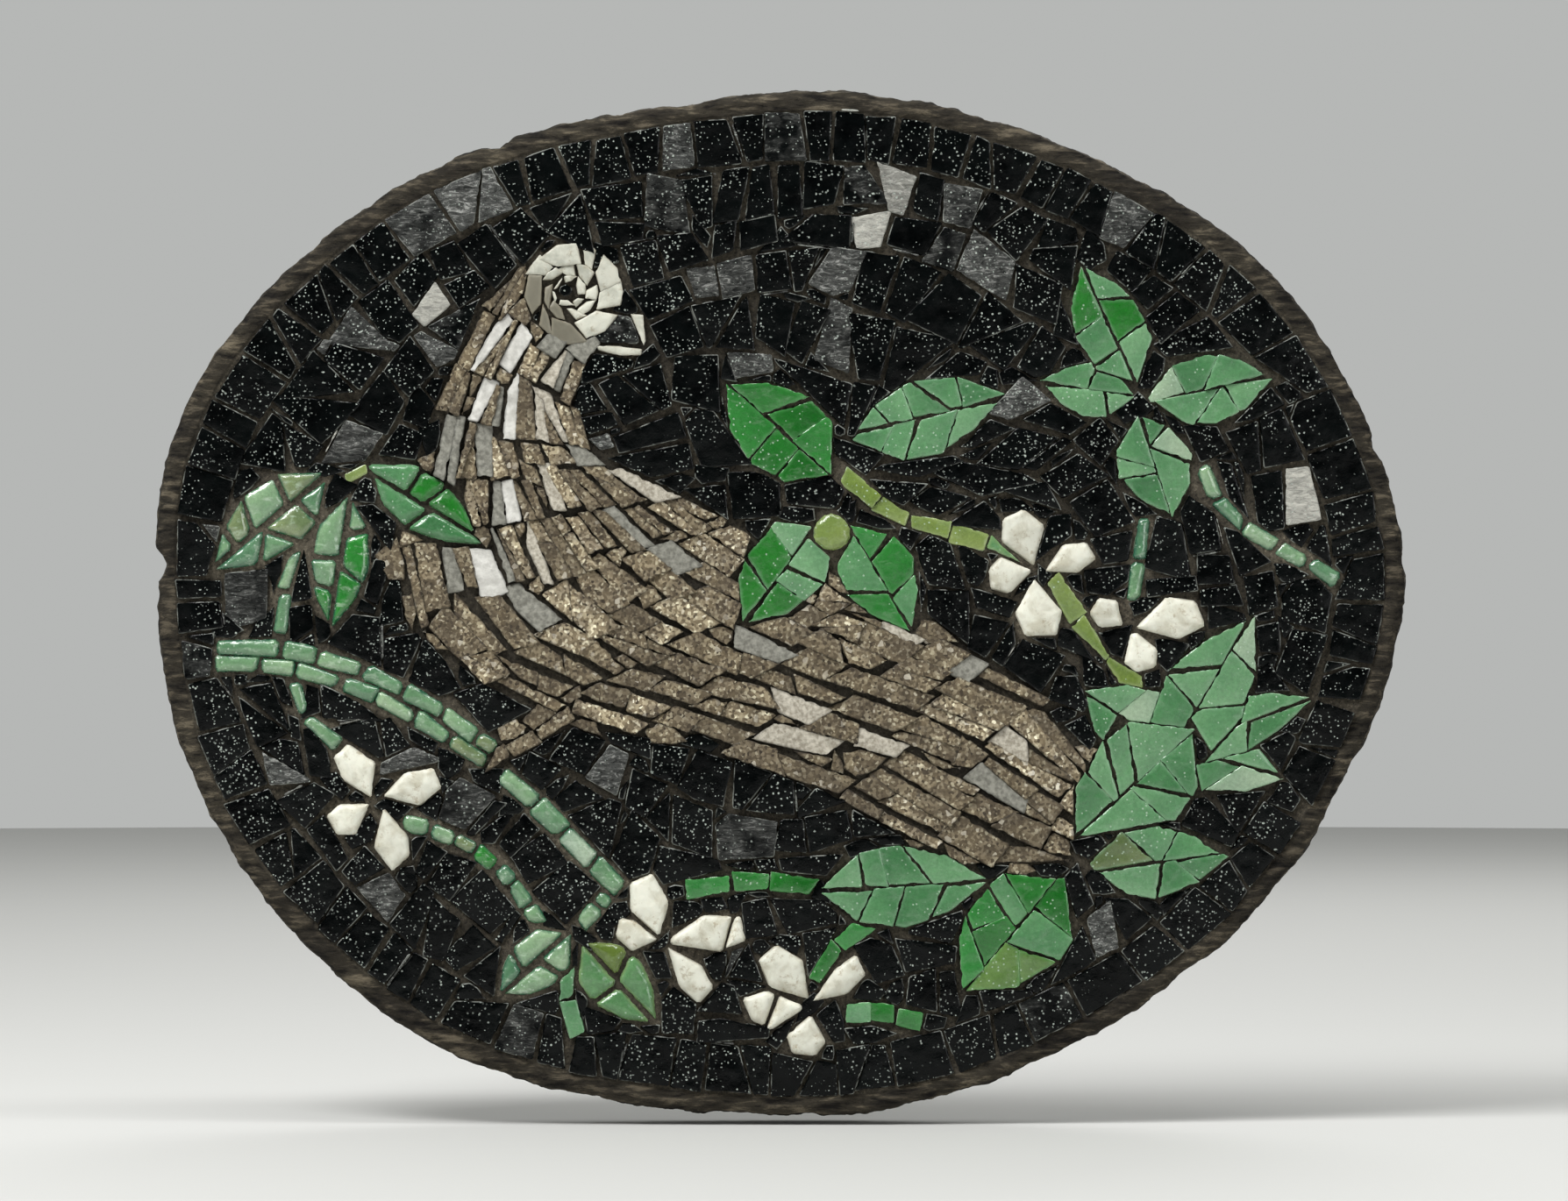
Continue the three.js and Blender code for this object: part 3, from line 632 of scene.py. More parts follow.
def add_piece(name, node, vertices, faces, attributes, sharp=32):
    """A mesh object from millimetres, with its attributes and material, in place of a node of the frame."""
    mesh = bpy.data.meshes.new(name)
    mesh.from_pydata((np.asarray(vertices) * MM).tolist(), [], faces)
    mesh.update()
    for key, values in attributes.items():
        values = np.asarray(values, np.float32)
        kind, field = ("FLOAT_VECTOR", "vector") if values.ndim == 2 else ("FLOAT", "value")
        mesh.attributes.new(key, kind, "POINT").data.foreach_set(field, values.ravel())
    mesh.shade_smooth()
    mesh.set_sharp_from_angle(angle=math.radians(sharp))
    mesh.materials.append(MATERIALS[SLOT_OF[node]])
    piece = add_object(name, mesh)
    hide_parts(node)
    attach(piece, "root")


# Tones of the bird's paler stones
BEIGE, GREY, WHITE = 0.64, 0.8, 1.0

# Single tesserae that stand out from the rest: for each node and tone, the points of the picture they lie at
ACCENTS = {
    (GROUND, 0.96): [(-117, 96)], (GROUND, 0.95): [(26, 125)], (GROUND, 0.9): [(35, 131)],
    (GROUND, 1.0): [(166, 32)], (GROUND, 0.7): [(-97, 131)],
    ("bird_body", WHITE): [(-93, 90), (-82, 82), (-93, 69), (-86, 69), (-86, 36), (-90, 7)],
    ("bird_body", GREY): [
        (-71, 84), (-72, 69), (-106, 50), (-94, 55), (-84, 4), (-45, 23), (-36, 20), (66, -61), (55, -28),
    ],
    ("bird_body", BEIGE): [(-74, 37), (-44, 34), (5, -31), (3, -47), (39, -41), (69, -45)],
    ("bird_eye", 0.0): [(-75, 77)],
}

# The share of a figure's pieces that come from the deep end of its colours, and from the olive end
ODD_PIECES = {
    "leaf_over_neck": (0.3, 0.1), "leaf_middle_left": (0.2, 0.05), "leaf_top_right_up": (0.3, 0),
    "leaf_top_right_down": (0.3, 0), "leaf_top_right_left": (0.1, 0.1), "leaf_vine": (0, 0.04),
    "leaf_bottom_right": (0.35, 0.05), "leaf_middle_right": (0.3, 0), "leaf_far_left": (0, 0.25),
    "leaf_hanging_left": (0.15, 0.12), "branch_left": (0, 0.1), "branch_lower": (0.25, 0.05),
    "leaf_bottom_left": (0, 0.25), "leaf_bottom_olive": (0.35, 0), "leaf_under_tail": (0.05, 0.1),
}


def tile_tone(tile):
    """Which shade of its kind a tessera is, from 0 to 1."""
    if tile.tone is not None:
        return tile.tone
    x, z = tile.polygon.mean(axis=0)
    slot, chance = tile.slot, rng.random()
    if slot == "black_glass":
        # More brushed grey pieces towards the top middle: painted sheen of reflected light
        sheen_greys = 0.08 + 0.42 * math.exp(-((x + 15) ** 2 + (z - 100) ** 2) / 50**2)
        return rng.uniform(0.35, 0.8) if chance < sheen_greys and not tile.chip else rng.uniform(0, 0.25)
    if slot == "brown_stone":
        if tile.node != "bird_body" or tile.chip:
            return rng.uniform(0.1, 0.45)
        throat = math.exp(-((x + 62) ** 2 + (z - 68) ** 2) / 22**2)
        if chance < 0.03 + 0.15 * throat and z > -25:
            return GREY
        if chance > 0.985 - 0.15 * throat:
            return BEIGE
        if chance > 0.5 and rng.random() < (0.55 if z > 10 else 0.36):
            return rng.uniform(0.52, 0.56)
        return rng.uniform(0.1, 0.5) if z > 10 else rng.uniform(0, 0.45)
    if slot.endswith("_glass"):
        deep, olive = ODD_PIECES.get(tile.node, (0.02, 0.05))
        if chance < deep:
            return 1.0
        if chance > 1 - olive:
            return 0.0
        return 0.87 if rng.random() < 0.05 else rng.uniform(0.2, 0.8)
    return rng.random()


def set_accents(tesserae):
    """The piece of its node that lies nearest each accent takes its tone."""
    for (node, tone), points in ACCENTS.items():
        whole = [tile for tile in tesserae if tile.node == node and not tile.chip]
        for point in points:
            nearest = min(whole, key=lambda tile: np.hypot(*(tile.polygon.mean(axis=0) - point)))
            nearest.tone = tone


def build_tesserae(tesserae):
    """One mesh for each node, made of all its tesserae."""
    for node in sorted({tile.node for tile in tesserae}):
        parts, faces, count = [], [], 0
        for tile in [tile for tile in tesserae if tile.node == node]:
            points, polygons, edge, fade = tessera_mesh(tile)
            faces += [[i + count for i in polygon] for polygon in polygons]
            tone = np.full(len(points), tile_tone(tile))
            shift = np.tile(rng.uniform(-1, 1, 3), (len(points), 1))
            parts.append((points, edge, fade, tone, shift))
            count += len(points)
        points, edge, fade, tone, shift = (np.concatenate(part) for part in zip(*parts))
        attributes = {"edge": edge, "fade": fade, "tone": tone, "shift": shift}
        add_piece(f"{node}_tesserae", node, points, faces, attributes)


# ---- the mortar

SPOKES = 320  # corners round each ring of the joints
FINE = 4  # times as many round the rim
RIM_SPOKES = SPOKES * FINE
RIM_ANGLES = np.arange(RIM_SPOKES) / RIM_SPOKES * math.tau
OUTWARDS = np.column_stack([np.cos(RIM_ANGLES), np.sin(RIM_ANGLES)])
RIM_FLAT = 7.0  # mm of bare mortar round the tiles
RIM_END = 9.3  # mm in from the edge, where the finer rings stop
SIDE_TOP = 21.4  # level where the side ends and the rim's shoulder begins

# Breaks in the edge: the angle in degrees anticlockwise from the right, the depth in mm, and half the
# breadth in degrees
BREAKS = ((176.4, 4.0, 1.5), (121.5, 2.2, 1.6), (14.5, 2.4, 1.3), (203, 1.6, 2.5), (318, 1.8, 3))

# How far the mortar is raised or lowered round each kind of piece, in mm; its colour is painted lighter where
# raised and darker where lowered, as light and shade
BEDDING = {"brown_stone": -0.2, "blue_green_glass": 0.75, "petal_marble": 0.5, "olive_glass": 0.4}


def slab_radii():
    """The slab's outline from its solid, softened: a distance from the middle for each spoke."""
    points = np.array([v.co for v in frame["nodes"][SLAB].data.vertices]) / MM
    outline = hull(points[(-points[:, 1] > 1) & (-points[:, 1] < 2)][:, [0, 2]])
    _, out = edge_lines(outline)
    facing = OUTWARDS @ out.T
    reach = (outline * out).sum(axis=1)[None] / np.maximum(facing, 1e-9)
    radii = np.where(facing > 1e-6, reach, np.inf).min(axis=1)
    return sum(np.roll(radii, k) for k in range(-9, 10)) / 19


def inside_field(point, radii, margin):
    """Whether a point lies inside the rim, clear of it by a margin."""
    angle = math.atan2(point[1], point[0]) % math.tau
    edge = radii[int(angle / math.tau * RIM_SPOKES) % RIM_SPOKES] - RIM_FLAT
    return math.hypot(*point) < edge - margin


def bedding_levels(tesserae):
    """How far the mortar is raised or lowered, on the grid, softened."""
    levels = np.zeros(GRID_SHAPE)
    owner = covered_grid(tesserae)
    for slot, shift in BEDDING.items():
        levels[np.isin(owner, [i for i, tile in enumerate(tesserae) if tile.slot == slot])] = shift
    for _ in range(5):
        near = [np.roll(levels, step, axis) for step in (-1, 1) for axis in (0, 1)]
        strongest = np.max(near, axis=0) + np.min(near, axis=0)
        levels = np.where(levels == 0, strongest * 0.95, levels)
    return levels


def bedding_at(flat, bedding):
    cells = np.clip(cell_of(flat), 0, np.array(GRID_SHAPE) - 1)
    return bedding[cells[:, 0], cells[:, 1]]


def joint_depth(flat, bedding):
    """The mortar between the tesserae: deep under the bird, nearly flush round the thick glass and petals."""
    x, z = flat[:, 0], flat[:, 1]
    lumps = rough_noise(x / 11, z / 11, 3, 3) * 0.5
    grit = rough_noise(x * 0.6, z * 0.6, 3, 5) * 0.25
    return MORTAR_LEVEL + lumps + grit + bedding_at(flat, bedding)


def rim_depth(flat, inwards, along):
    """The bare rim: a worn shoulder, ridged and chipped, nearly level with the tiles."""
    x, z = flat[:, 0], flat[:, 1]
    lumps = rough_noise(x / 8, z / 8, 3, 3) * 0.4
    strokes = rough_noise(x * 0.16 + z * 0.05, z * 0.85 - x * 0.08, 3, 17) * 0.42
    grit = rough_noise(x * 0.9, z * 0.9, 2, 5) * 0.12
    chips = np.clip(rough_noise(along / 6, np.full(len(along), inwards / 5), 2, 31) - 0.35, 0, 1) * 2.2
    level = 22.3 + 2.5 * min(1, inwards / 3.4) ** 0.55
    inner = 0.4 * np.clip((inwards - 6) / 3, 0, 1)
    uneven = (lumps + strokes) * min(1, 0.35 + inwards / 2.5)
    return level + uneven + grit - chips * np.clip(1 - inwards / 5, 0, 1) - inner


def strips(first, size, rows):
    """Quads between rings of vertices of one size, from the inside of each ring to the next."""
    faces = []
    for start in range(first, first + rows * size, size):
        for i in range(size):
            a, b = start + i, start + (i + 1) % size
            faces.append([a, b, b + size, a + size])
    return faces


def build_mortar(radii, bedding):
    """The slab: a flat back, a rough side and rim, and the uneven mortar between the tesserae."""
    along = RIM_ANGLES * 180  # mm round the edge, roughly
    zeros = np.zeros(RIM_SPOKES)
    dents = np.clip(rough_noise(along / 13, zeros, 4, 40), -1, 0.15) * 1.5
    for degrees, deep, breadth in BREAKS:
        away = np.degrees(np.abs((RIM_ANGLES - math.radians(degrees) + math.pi) % math.tau - math.pi))
        dents -= deep * np.clip(1 - away / breadth, 0, 1) ** 0.7

    # Rings of (x, z) and depth, from the back's edge up the side, in over the rim and across the joints
    rings = [(OUTWARDS * (radii + dents * 0.3 - 1.6)[:, None], zeros)]
    for depth in np.linspace(1.3, SIDE_TOP, 15):
        share = 0.35 + 0.65 * depth / SIDE_TOP
        grain = 0.55 * rough_noise(along / 2.6, zeros + depth / 5, 3, 7)
        grain = grain + 0.3 * rough_noise(along / 9, zeros + depth * 0.7, 2, 9)
        reach = radii + dents * share - 0.45 + grain - 0.5 * max(0, depth - 20)
        rings.append((OUTWARDS * reach[:, None], zeros + depth))
    for inwards in np.concatenate([np.linspace(1.1, 6.5, 8), np.linspace(7.3, RIM_END, 3)]):
        flat = OUTWARDS * (radii + dents * max(0, 1 - inwards / 6) - inwards)[:, None]
        rings.append((flat, rim_depth(flat, inwards, along)))
    fine_rings = len(rings)
    for share in np.linspace(1, 0, 101)[1:-1]:
        flat = (OUTWARDS * (radii - RIM_END)[:, None])[::FINE] * share
        rings.append((flat, joint_depth(flat, bedding)))
    points = [np.column_stack([flat[:, 0], -depth, flat[:, 1]]) for flat, depth in rings]
    vertices = np.vstack([*points, [0, -MORTAR_LEVEL, 0]])

    faces = [list(range(RIM_SPOKES))[::-1]] + strips(0, RIM_SPOKES, fine_rings - 1)
    seam, first = (fine_rings - 1) * RIM_SPOKES, fine_rings * RIM_SPOKES
    for i in range(SPOKES):
        outer = [seam + (i * FINE + k) % RIM_SPOKES for k in range(FINE + 1)]
        faces.append(outer + [first + (i + 1) % SPOKES, first + i])
    faces += strips(first, SPOKES, len(rings) - fine_rings - 1)
    middle = len(vertices) - 1
    last = middle - SPOKES
    faces += [[last + i, last + (i + 1) % SPOKES, middle] for i in range(SPOKES)]

    bare = [np.full(len(flat), float(row < fine_rings - 3)) for row, (flat, _) in enumerate(rings)]
    rim = np.concatenate(bare + [[0.0]])
    # How far the mortar is raised, which its material paints as light and shade
    raised = bedding_at(vertices[:, [0, 2]], bedding) * (1 - rim)
    plain = rim * np.clip((20 + vertices[:, 1]) / 12, 0, 1)
    add_piece("mortar", SLAB, vertices, faces, {"rim": rim, "raised": raised, "plain": plain}, sharp=60)


# ---- materials

class Nodes:
    """Short calls for building the node tree of a material or a world, with a colour that grows in layers."""

    def __init__(self, owner):
        owner.use_nodes = True
        self.owner, self.tree = owner, owner.node_tree
        self.shader = self.tree.nodes.get("Principled BSDF")
        self.colour = None

    def feed(self, socket, value):
        """Links a socket, or sets its value."""
        if isinstance(value, bpy.types.NodeSocket):
            self.tree.links.new(value, socket)
        else:
            socket.default_value = (*value, 1) if socket.type == "RGBA" else value

    def node(self, kind, *values, **named):
        """A new node. Values feed its first sockets; a capitalised name is a socket, another a setting."""
        made = self.tree.nodes.new("ShaderNode" + kind)
        for name, value in named.items():
            if name.istitle():
                self.feed(made.inputs[name], value)
            else:
                setattr(made, name, value)
        for socket, value in zip(made.inputs, values):
            self.feed(socket, value)
        return made

    def attribute(self, name, output="Fac"):
        return self.node("Attribute", attribute_name=name).outputs[output]

    def stretched(self, place, stretch):
        return self.node("VectorMath", place, stretch, operation="MULTIPLY").outputs[0]

    def place(self, stretch=(1, 1, 1)):
        """Object coordinates, moved by each tessera's own shift so that no two are alike."""
        shift, place = self.attribute("shift", "Vector"), self.node("TexCoord").outputs["Object"]
        moved = self.node("VectorMath", shift, (0.25, 0.25, 0.25), place, operation="MULTIPLY_ADD")
        return self.stretched(moved.outputs[0], stretch)

    def noise(self, place, size_mm, detail=4, roughness=0.55, distortion=0.0):
        fineness = {"Scale": 1000 / size_mm, "Detail": detail, "Roughness": roughness}
        return self.node("TexNoise", Vector=place, Distortion=distortion, **fineness).outputs["Fac"]

    def cells(self, place, size_mm):
        """The distance from the middle of the nearest cell, and that cell's own random number."""
        made = self.node("TexVoronoi", Vector=place, Scale=1000 / size_mm)
        return made.outputs["Distance"], made.outputs["Color"]

    def ramp(self, value, *stops, smooth=True):
        """A colour for a number, from pairs of a position and a colour."""
        made = self.node("ValToRGB", value)
        made.color_ramp.interpolation = "EASE" if smooth else "LINEAR"
        elements = made.color_ramp.elements
        while len(elements) < len(stops):
            elements.new(0.5)
        for element, (position, colour) in zip(elements, stops):
            element.position, element.color = position, (*colour, 1)
        return made.outputs["Color"]

    def math(self, operation, a, b, clamp=False):
        return self.node("Math", a, b, operation=operation, use_clamp=clamp).outputs[0]

    times = partialmethod(math, "MULTIPLY")
    plus = partialmethod(math, "ADD")
    minus = partialmethod(math, "SUBTRACT")

    def between(self, value, low, high, to_low=0.0, to_high=1.0):
        return self.node("MapRange", value, low, high, to_low, to_high).outputs["Result"]

    def mix(self, share, a, b, blend="MIX"):
        made = self.node("Mix", share, data_type="RGBA", blend_type=blend)
        self.feed(made.inputs[6], a)  # the sockets of a Mix node that take colours
        self.feed(made.inputs[7], b)
        return made.outputs[2]

    def lay(self, share, colour, blend="MIX"):
        """Lays a colour over the colour so far."""
        self.colour = self.mix(share, self.colour, colour, blend)

    def tint(self, colour, share=1.0):
        """Multiplies the colour so far by another."""
        self.lay(share, colour, "MULTIPLY")

    def dim(self, level):
        """Multiplies the colour so far by a number."""
        self.tint(self.node("CombineColor", level, level, level).outputs[0])

    def shade(self, values):
        """Feeds the shader's sockets, and gives the material."""
        for name, value in values.items():
            self.feed(self.shader.inputs[name], value)
        return self.owner

    def finish(self, roughness, height, strength, distance_mm, specular=0.5):
        bump = self.node("Bump", Height=height, Strength=strength, Distance=distance_mm * MM)
        self.shade({"Base Color": self.colour, "Normal": bump.outputs["Normal"]})
        return self.shade({"Roughness": roughness, "Specular IOR Level": specular})


def new_material(name):
    return Nodes(bpy.data.materials.new(name))


def black_glass(name):
    """Near-black glass full of pale specks; some pieces are brushed grey, a grey that is partly painted sheen
    of reflected light, and a few are pale; the pale scuffs on its edges are partly painted highlights.
    """
    n = new_material(name)
    place, tone = n.place(), n.attribute("tone")
    n.colour = n.ramp(n.noise(place, 9, 3), (0.3, (0.0005, 0.0008, 0.0009)), (0.7, (0.0021, 0.003, 0.003)))
    brushed = n.noise(n.place(stretch=(1, 1, 3)), 4, 6, 0.75, 1.2)
    # Brushed grey pieces: their grey is partly painted sheen of reflected light
    sheen_greys = (0.34, (0.007, 0.008, 0.007)), (0.5, (0.065, 0.067, 0.063)), (0.7, (0.42, 0.425, 0.4))
    patches = n.between(n.noise(place, 8, 2), 0.3, 0.7, 0.0, 0.9)
    partly = n.plus(n.between(tone, 0.25, 0.8, -0.55, 0.65), patches, True)
    n.lay(n.times(partly, n.between(tone, 0.28, 0.34)), n.ramp(brushed, *sheen_greys))
    n.lay(n.between(tone, 0.85, 0.95), n.ramp(brushed, (0.3, (0.2, 0.2, 0.18)), (0.7, (0.55, 0.54, 0.48))))

    # Three sizes of ragged fleck: where they lie, their spacing, which cells hold one, and its radius
    flat = n.place(stretch=(1, 1, 1.7))
    flecks = 0.0
    for where, size, picked, reach in (
        (place, 1.3, 0.66, 0.29), (flat, 2.9, 0.62, 0.18), (place, 0.8, 0.72, 0.32),
    ):
        distance, chance = n.cells(where, size)
        ragged = n.plus(distance, n.times(n.noise(where, size * 0.4, 3, 0.7), 0.5))
        chosen = n.between(chance, picked, picked + 0.05)
        fleck = n.times(n.between(ragged, reach + 0.24, reach + 0.16), chosen, True)
        flecks = n.math("MAXIMUM", flecks, fleck)
    n.lay(n.times(flecks, n.between(n.noise(place, 5, 3), 0.38, 0.62, 0.2, 1.0)), (0.42, 0.47, 0.42))
    # Pale scuffs along the edges: partly wear, partly painted highlights where edges would catch the light
    scuffs_and_highlights = n.times(n.between(n.attribute("edge"), 0.26, 0.08), n.between(n.noise(place, 6, 3), 0.48, 0.62))
    n.lay(n.times(scuffs_and_highlights, 0.85), (0.29, 0.305, 0.275))
    height = n.minus(n.times(n.noise(place, 2.6, 5, 0.6), 0.6), n.times(flecks, 0.4))
    height = n.plus(height, n.times(brushed, n.between(tone, 0.3, 0.6, 0.0, 1.3)))
    return n.finish(n.between(n.noise(place, 4, 4), 0.3, 0.7, 0.1, 0.32), height, 0.5, 0.45, 0.16)


def brown_stone():
    """Granular brown stone; higher tones are lighter, then beige, grey and white stones."""
    n = new_material("brown_stone")
    place, tone = n.place(), n.attribute("tone")
    _, grains = n.cells(place, 0.85)
    _, big = n.cells(place, 1.6)
    browns = (0.05, (0.04, 0.029, 0.017)), (0.4, (0.135, 0.107, 0.066)), (0.7, (0.28, 0.24, 0.165))
    n.colour = n.ramp(grains, *browns, (0.95, (0.6, 0.57, 0.44)))
    n.tint(n.ramp(n.noise(place, 7, 4), (0.35, (0.62, 0.58, 0.54)), (0.65, (1.25, 1.2, 1.1))))
    n.lay(n.between(tone, 0.0, 0.5, 0.55, 0.0), (0.06, 0.045, 0.026))
    glint = n.math("MAXIMUM", n.between(big, 0.86, 0.92), n.between(grains, 0.93, 0.97))
    n.lay(n.times(glint, 0.6), (0.64, 0.59, 0.48))
    n.tint((1.42, 1.46, 1.52), n.between(tone, 0.5, 0.52))
    # The other stones: the tones they come in between, the size of their clouds, and two shades
    for low, high, size, dark, light in (
        (0.57, 0.6, 1.2, (0.3, 0.27, 0.21), (0.58, 0.54, 0.45)),
        (0.7, 0.75, 1.5, (0.15, 0.147, 0.122), (0.31, 0.305, 0.26)),
        (0.9, 0.95, 3, (0.5, 0.49, 0.45), (0.74, 0.73, 0.68)),
    ):
        n.lay(n.between(tone, low, high), n.ramp(n.noise(place, size, 4), (0.3, dark), (0.7, light)))
    # Painted shade: each piece darkens towards its edges, where it meets its neighbours
    n.dim(n.between(n.attribute("edge"), 0.5, 0.0, 1.0, 0.4))
    height = n.plus(n.times(grains, 0.5), n.noise(place, 2.5, 5, 0.65))
    return n.finish(n.between(grains, 0.0, 1.0, 0.75, 0.38), height, 0.7, 0.6, 0.4)


def marble(name, light, dark, stain, odd=None, dullest=0.72):
    """A pale, softly clouded stone with brown stains, browner and darker at its edges with grime and painted
    shade; pieces of the lowest tones may be another stone.
    """
    n = new_material(name)
    place, tone, edge = n.place(), n.attribute("tone"), n.attribute("edge")
    cloud = n.noise(place, 6, 5, 0.6, 0.4)
    n.colour = n.ramp(cloud, (0.3, dark), (0.6, light))
    n.lay(n.times(n.between(n.noise(place, 3.2, 5, 0.7), 0.57, 0.66), 0.6), stain)
    if odd:
        n.lay(n.between(tone, 0.33, 0.3), n.mix(cloud, tuple(c * 0.55 for c in odd), odd))
    n.dim(n.between(tone, 0, 0.6, dullest, 1.06))
    # Browner and darker towards the edges: partly grime, partly painted shade round each domed piece
    n.lay(n.between(edge, 0.8, 0.0, 0.0, 0.25), (0.42, 0.38, 0.28))
    n.lay(n.between(edge, 0.2, 0.0, 0.0, 0.6), (0.16, 0.13, 0.09))
    height = n.plus(n.noise(place, 1.8, 5, 0.6), n.times(cloud, 0.7))
    n.shade({"Subsurface Weight": 0.08, "Subsurface Radius": (0.003, 0.002, 0.0015)})
    return n.finish(n.between(cloud, 0.3, 0.7, 0.32, 0.5), height, 0.3, 0.35)


def green_glass(name, shades, edge_tint, cloudiness=0.6, edge_share=0.3, sheen_share=0.1, gloss=0.4):
    """Glass in a few shades, tinted at its cut edges, fading across each piece, with fine bubbles in it;
    painted highlights run along some cut edges, pale streaks of painted sheen lie across it, and on the thick
    glass the darker cut edge is partly painted shade.
    """
    n = new_material(name)
    place, edge = n.place(), n.attribute("edge")
    n.colour = n.ramp(n.attribute("tone"), *zip((0.05, 0.2, 0.5, 0.8, 0.86, 0.95), shades), smooth=False)
    drift = n.plus(n.times(n.noise(place, 9, 3, 0.5), 0.8), n.times(n.attribute("fade"), 0.45))
    n.tint((0.5, 0.6, 0.58), n.between(drift, 0.35, 0.8, 0.0, cloudiness))
    # The cut edges take the edge tint; on the thick glass this darker edge is partly painted shade
    wavy = n.plus(edge, n.between(n.noise(place, 4, 3), 0.3, 0.7, -0.25, 0.25))
    n.lay(n.times(n.between(wavy, 0.75, 0.1), edge_share), edge_tint)
    # Painted highlights: thin pale lines along some of the cut edges
    painted_rim_highlight = n.times(n.between(edge, 0.16, 0.04), n.between(n.noise(place, 6, 2), 0.5, 0.58))
    n.lay(n.times(painted_rim_highlight, 0.75), (0.42, 0.57, 0.38))
    # Pale streaks laid as painted sheen of reflected light
    sheen_streaks = n.between(n.noise(n.place(stretch=(1, 1, 2)), 4.5, 4, 0.6, 0.4), 0.56, 0.7)
    n.lay(n.times(sheen_streaks, sheen_share), (0.5, 0.64, 0.48))
    # Darker in patches along the cut edges
    dark_edge_patches = n.times(n.between(edge, 0.14, 0.0), n.between(n.noise(place, 3, 2), 0.5, 0.35))
    n.lay(n.times(dark_edge_patches, 0.6), (0.05, 0.06, 0.04))
    n.dim(n.between(n.noise(place, 1.0, 3, 0.7), 0.35, 0.7, 0.86, 1.12))
    distance, chance = n.cells(place, 1.5)
    bubbles = n.times(n.between(distance, 0.24, 0.16), n.between(chance, 0.58, 0.62), True)
    n.lay(n.times(bubbles, 0.55), (0.5, 0.66, 0.5))
    height = n.minus(n.noise(place, 2.4, 4, 0.6), n.times(bubbles, 0.5))
    n.shade({"Coat Weight": gloss, "Coat Roughness": 0.1})
    return n.finish(n.between(n.noise(place, 3, 3), 0.3, 0.7, 0.12, 0.34), height, 0.45, 0.35)


def mortar():
    """Sandy mortar: dark in the joints, with painted shade where they lie deep and painted light where
    raised, streaked on the bare rim, and plain grey on the side and back.
    """
    n = new_material("mortar")
    place = n.node("TexCoord").outputs["Object"]
    rim, plain = n.attribute("rim"), n.attribute("plain")
    sand = n.noise(place, 1.1, 5, 0.7)
    strokes = n.noise(n.stretched(place, (0.22, 0.6, 1)), 2.2, 5, 0.65, 0.3)
    pores = n.times(n.between(n.noise(place, 2.2, 3, 0.6), 0.66, 0.74), 0.8)
    joints = (0.3, (0.01, 0.009, 0.007)), (0.55, (0.044, 0.039, 0.03)), (0.8, (0.16, 0.143, 0.112))
    streaks = (0.34, (0.005, 0.004, 0.003)), (0.5, (0.031, 0.027, 0.02)), (0.67, (0.12, 0.103, 0.076))
    cement = n.ramp(n.noise(place, 3.5, 8, 0.7), (0.3, (0.08, 0.073, 0.06)), (0.7, (0.205, 0.19, 0.16)))
    n.colour = n.ramp(sand, *joints)
    # Painted light and shade: darker where the mortar lies deep among the pieces, lighter where it is raised
    # nearly flush
    n.dim(n.between(n.attribute("raised"), -0.4, 0.7, 0.72, 2.1))
    n.lay(rim, n.ramp(strokes, *streaks))
    n.lay(plain, n.mix(pores, cement, (0.03, 0.027, 0.022)))
    n.tint(n.ramp(n.noise(place, 18, 4), (0.3, (0.6, 0.58, 0.56)), (0.7, (1.25, 1.22, 1.15))))
    height = n.plus(sand, n.times(strokes, n.times(n.minus(rim, plain, True), 1.6)))
    return n.finish(0.9, n.minus(height, n.times(pores, plain)), 0.7, 0.6, 0.25)


# Each green glass: its shades from the olive end to the deep end, the tint of its cut edges, and for the
# thick glass how cloudy, tinted, streaked with painted sheen and glossy it is
GREENS = {
    "mint_glass": (
        [(0.13, 0.18, 0.065), (0.062, 0.21, 0.075), (0.12, 0.3, 0.13),
         (0.19, 0.38, 0.19), (0.4, 0.52, 0.36), (0.02, 0.19, 0.022)],
        (0.26, 0.46, 0.28)),
    "deep_green_glass": (
        [(0.13, 0.24, 0.06), (0.013, 0.135, 0.016), (0.025, 0.2, 0.03),
         (0.045, 0.25, 0.055), (0.16, 0.36, 0.17), (0.11, 0.29, 0.12)],
        (0.12, 0.38, 0.13)),
    "blue_green_glass": (
        [(0.22, 0.28, 0.13), (0.1, 0.24, 0.13), (0.19, 0.35, 0.18),
         (0.33, 0.48, 0.28), (0.5, 0.6, 0.45), (0.03, 0.25, 0.035)],
        (0.022, 0.11, 0.058), 0.75, 1.0, 0.5, 1.0),
    "olive_glass": (
        [(0.1, 0.16, 0.03), (0.12, 0.18, 0.03), (0.19, 0.27, 0.06),
         (0.28, 0.35, 0.11), (0.36, 0.42, 0.18), (0.12, 0.28, 0.11)],
        (0.42, 0.5, 0.22)),
}

MATERIALS = {name: green_glass(name, *look) for name, look in GREENS.items()}
MATERIALS.update({name: black_glass(name) for name in ("black_glass", "beak_stone")})
MATERIALS.update({"brown_stone": brown_stone(), "mortar": mortar()})
MATERIALS["head_marble"] = marble(
    "head_marble", (0.62, 0.62, 0.53), (0.4, 0.405, 0.34), (0.28, 0.23, 0.15), odd=(0.3, 0.28, 0.21))
MATERIALS["petal_marble"] = marble(
    "petal_marble", (0.78, 0.78, 0.67), (0.56, 0.54, 0.43), (0.33, 0.26, 0.15), dullest=0.84)


# ---- stage, light and camera

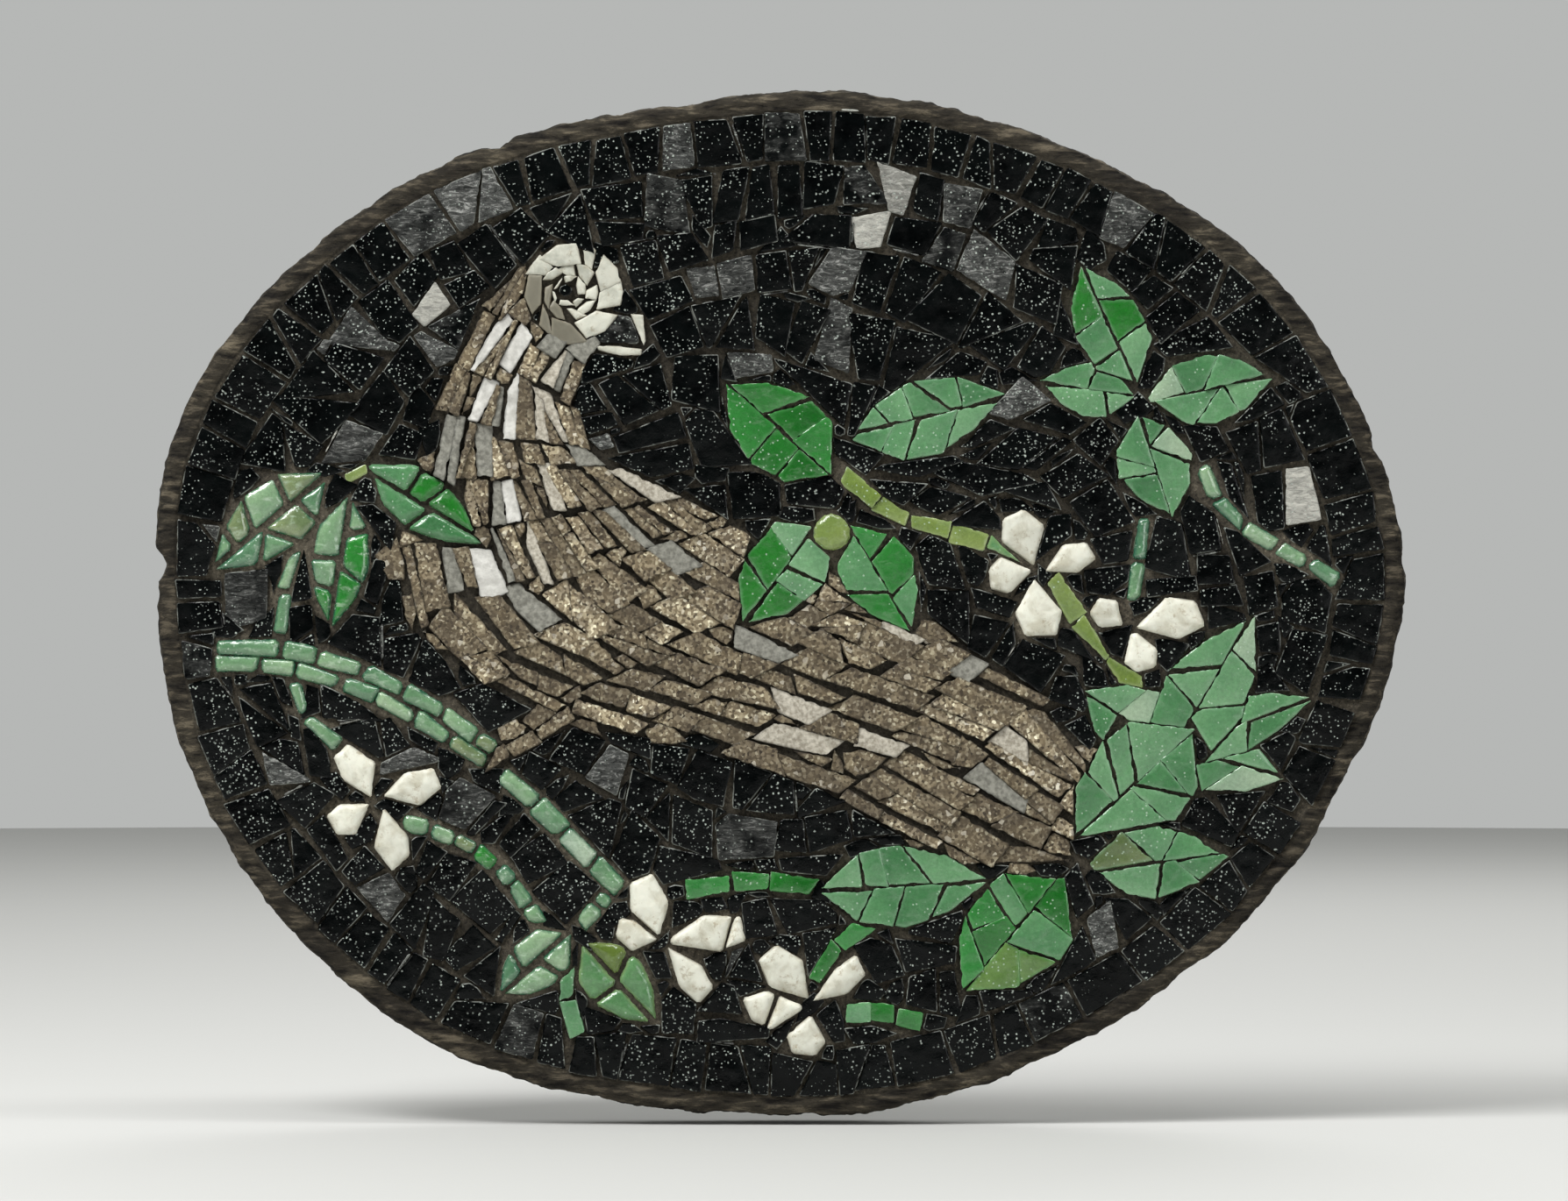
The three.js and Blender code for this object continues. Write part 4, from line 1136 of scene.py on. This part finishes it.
def build_stage(low):
    place = (0, 0, low - 0.002)
    bpy.ops.mesh.primitive_circle_add(vertices=160, radius=2.9, fill_type="NGON", location=place)
    floor = bpy.context.object
    floor.name = "floor"
    pale = new_material("pale_floor").shade({"Base Color": (0.58, 0.58, 0.56), "Roughness": 0.8})
    floor.data.materials.append(pale)


def build_room():
    """A room that is dim above the horizon on the viewer's side, so that dark glass stays dark."""
    world = bpy.data.worlds.new("studio")
    n = Nodes(world)
    axes = n.node("SeparateXYZ", n.node("TexCoord").outputs["Generated"]).outputs
    palest = n.math("MAXIMUM", n.between(axes["Y"], -1, 1), n.between(axes["Z"], -0.01, -0.05))
    colour = n.ramp(palest, (0.08, (0.025, 0.026, 0.025)), (0.55, (0.52, 0.53, 0.52)), smooth=False)
    background = n.tree.nodes["Background"].inputs
    n.feed(background["Color"], colour)
    n.feed(background["Strength"], 0.9)
    bpy.context.scene.world = world
    bpy.context.scene.view_settings.view_transform = "Standard"


def softbox(name, place, size, power):
    light = bpy.data.lights.new(name, "AREA")
    light.shape = "RECTANGLE"
    light.size, light.size_y = size
    light.energy = power
    lamp = add_object(name, light)
    lamp.location = place
    lamp.rotation_euler = (-Vector(place)).to_track_quat("-Z", "Y").to_euler()


def build_lights():
    softbox("key", (-0.95, -0.95, 1.45), (1.0, 0.6), 34)
    softbox("strip", (0.1, -0.55, 1.7), (1.8, 0.3), 15)
    softbox("fill", (1.2, -1.7, 0.2), (0.9, 0.9), 8)
    softbox("back", (0.5, 1.7, 1.3), (1.2, 1.0), 12)


def build_camera():
    """A long lens, square to the picture."""
    image_width = 0.4986  # m across the image, at the tesserae's faces
    distance = 2.2
    data = bpy.data.cameras.new("camera")
    data.sensor_width = 36
    data.lens = data.sensor_width * distance / image_width
    camera = add_object("camera", data)
    camera.location = (0.0017, -distance - FACE * MM, 0.0008)
    camera.rotation_euler = (math.pi / 2, 0, 0)
    bpy.context.scene.camera = camera


# ---- assembly

radii = slab_radii()
tesserae = with_beak(read_tesserae(radii) + head_chips())
fill_bare_spots(tesserae, radii)
set_accents(tesserae)
bedding = bedding_levels(tesserae)
add_slivers_and_highlight_lines(tesserae)
build_tesserae(tesserae)
build_mortar(radii, bedding)
build_stage(cad_box[0][2])
build_room()
build_lights()
build_camera()
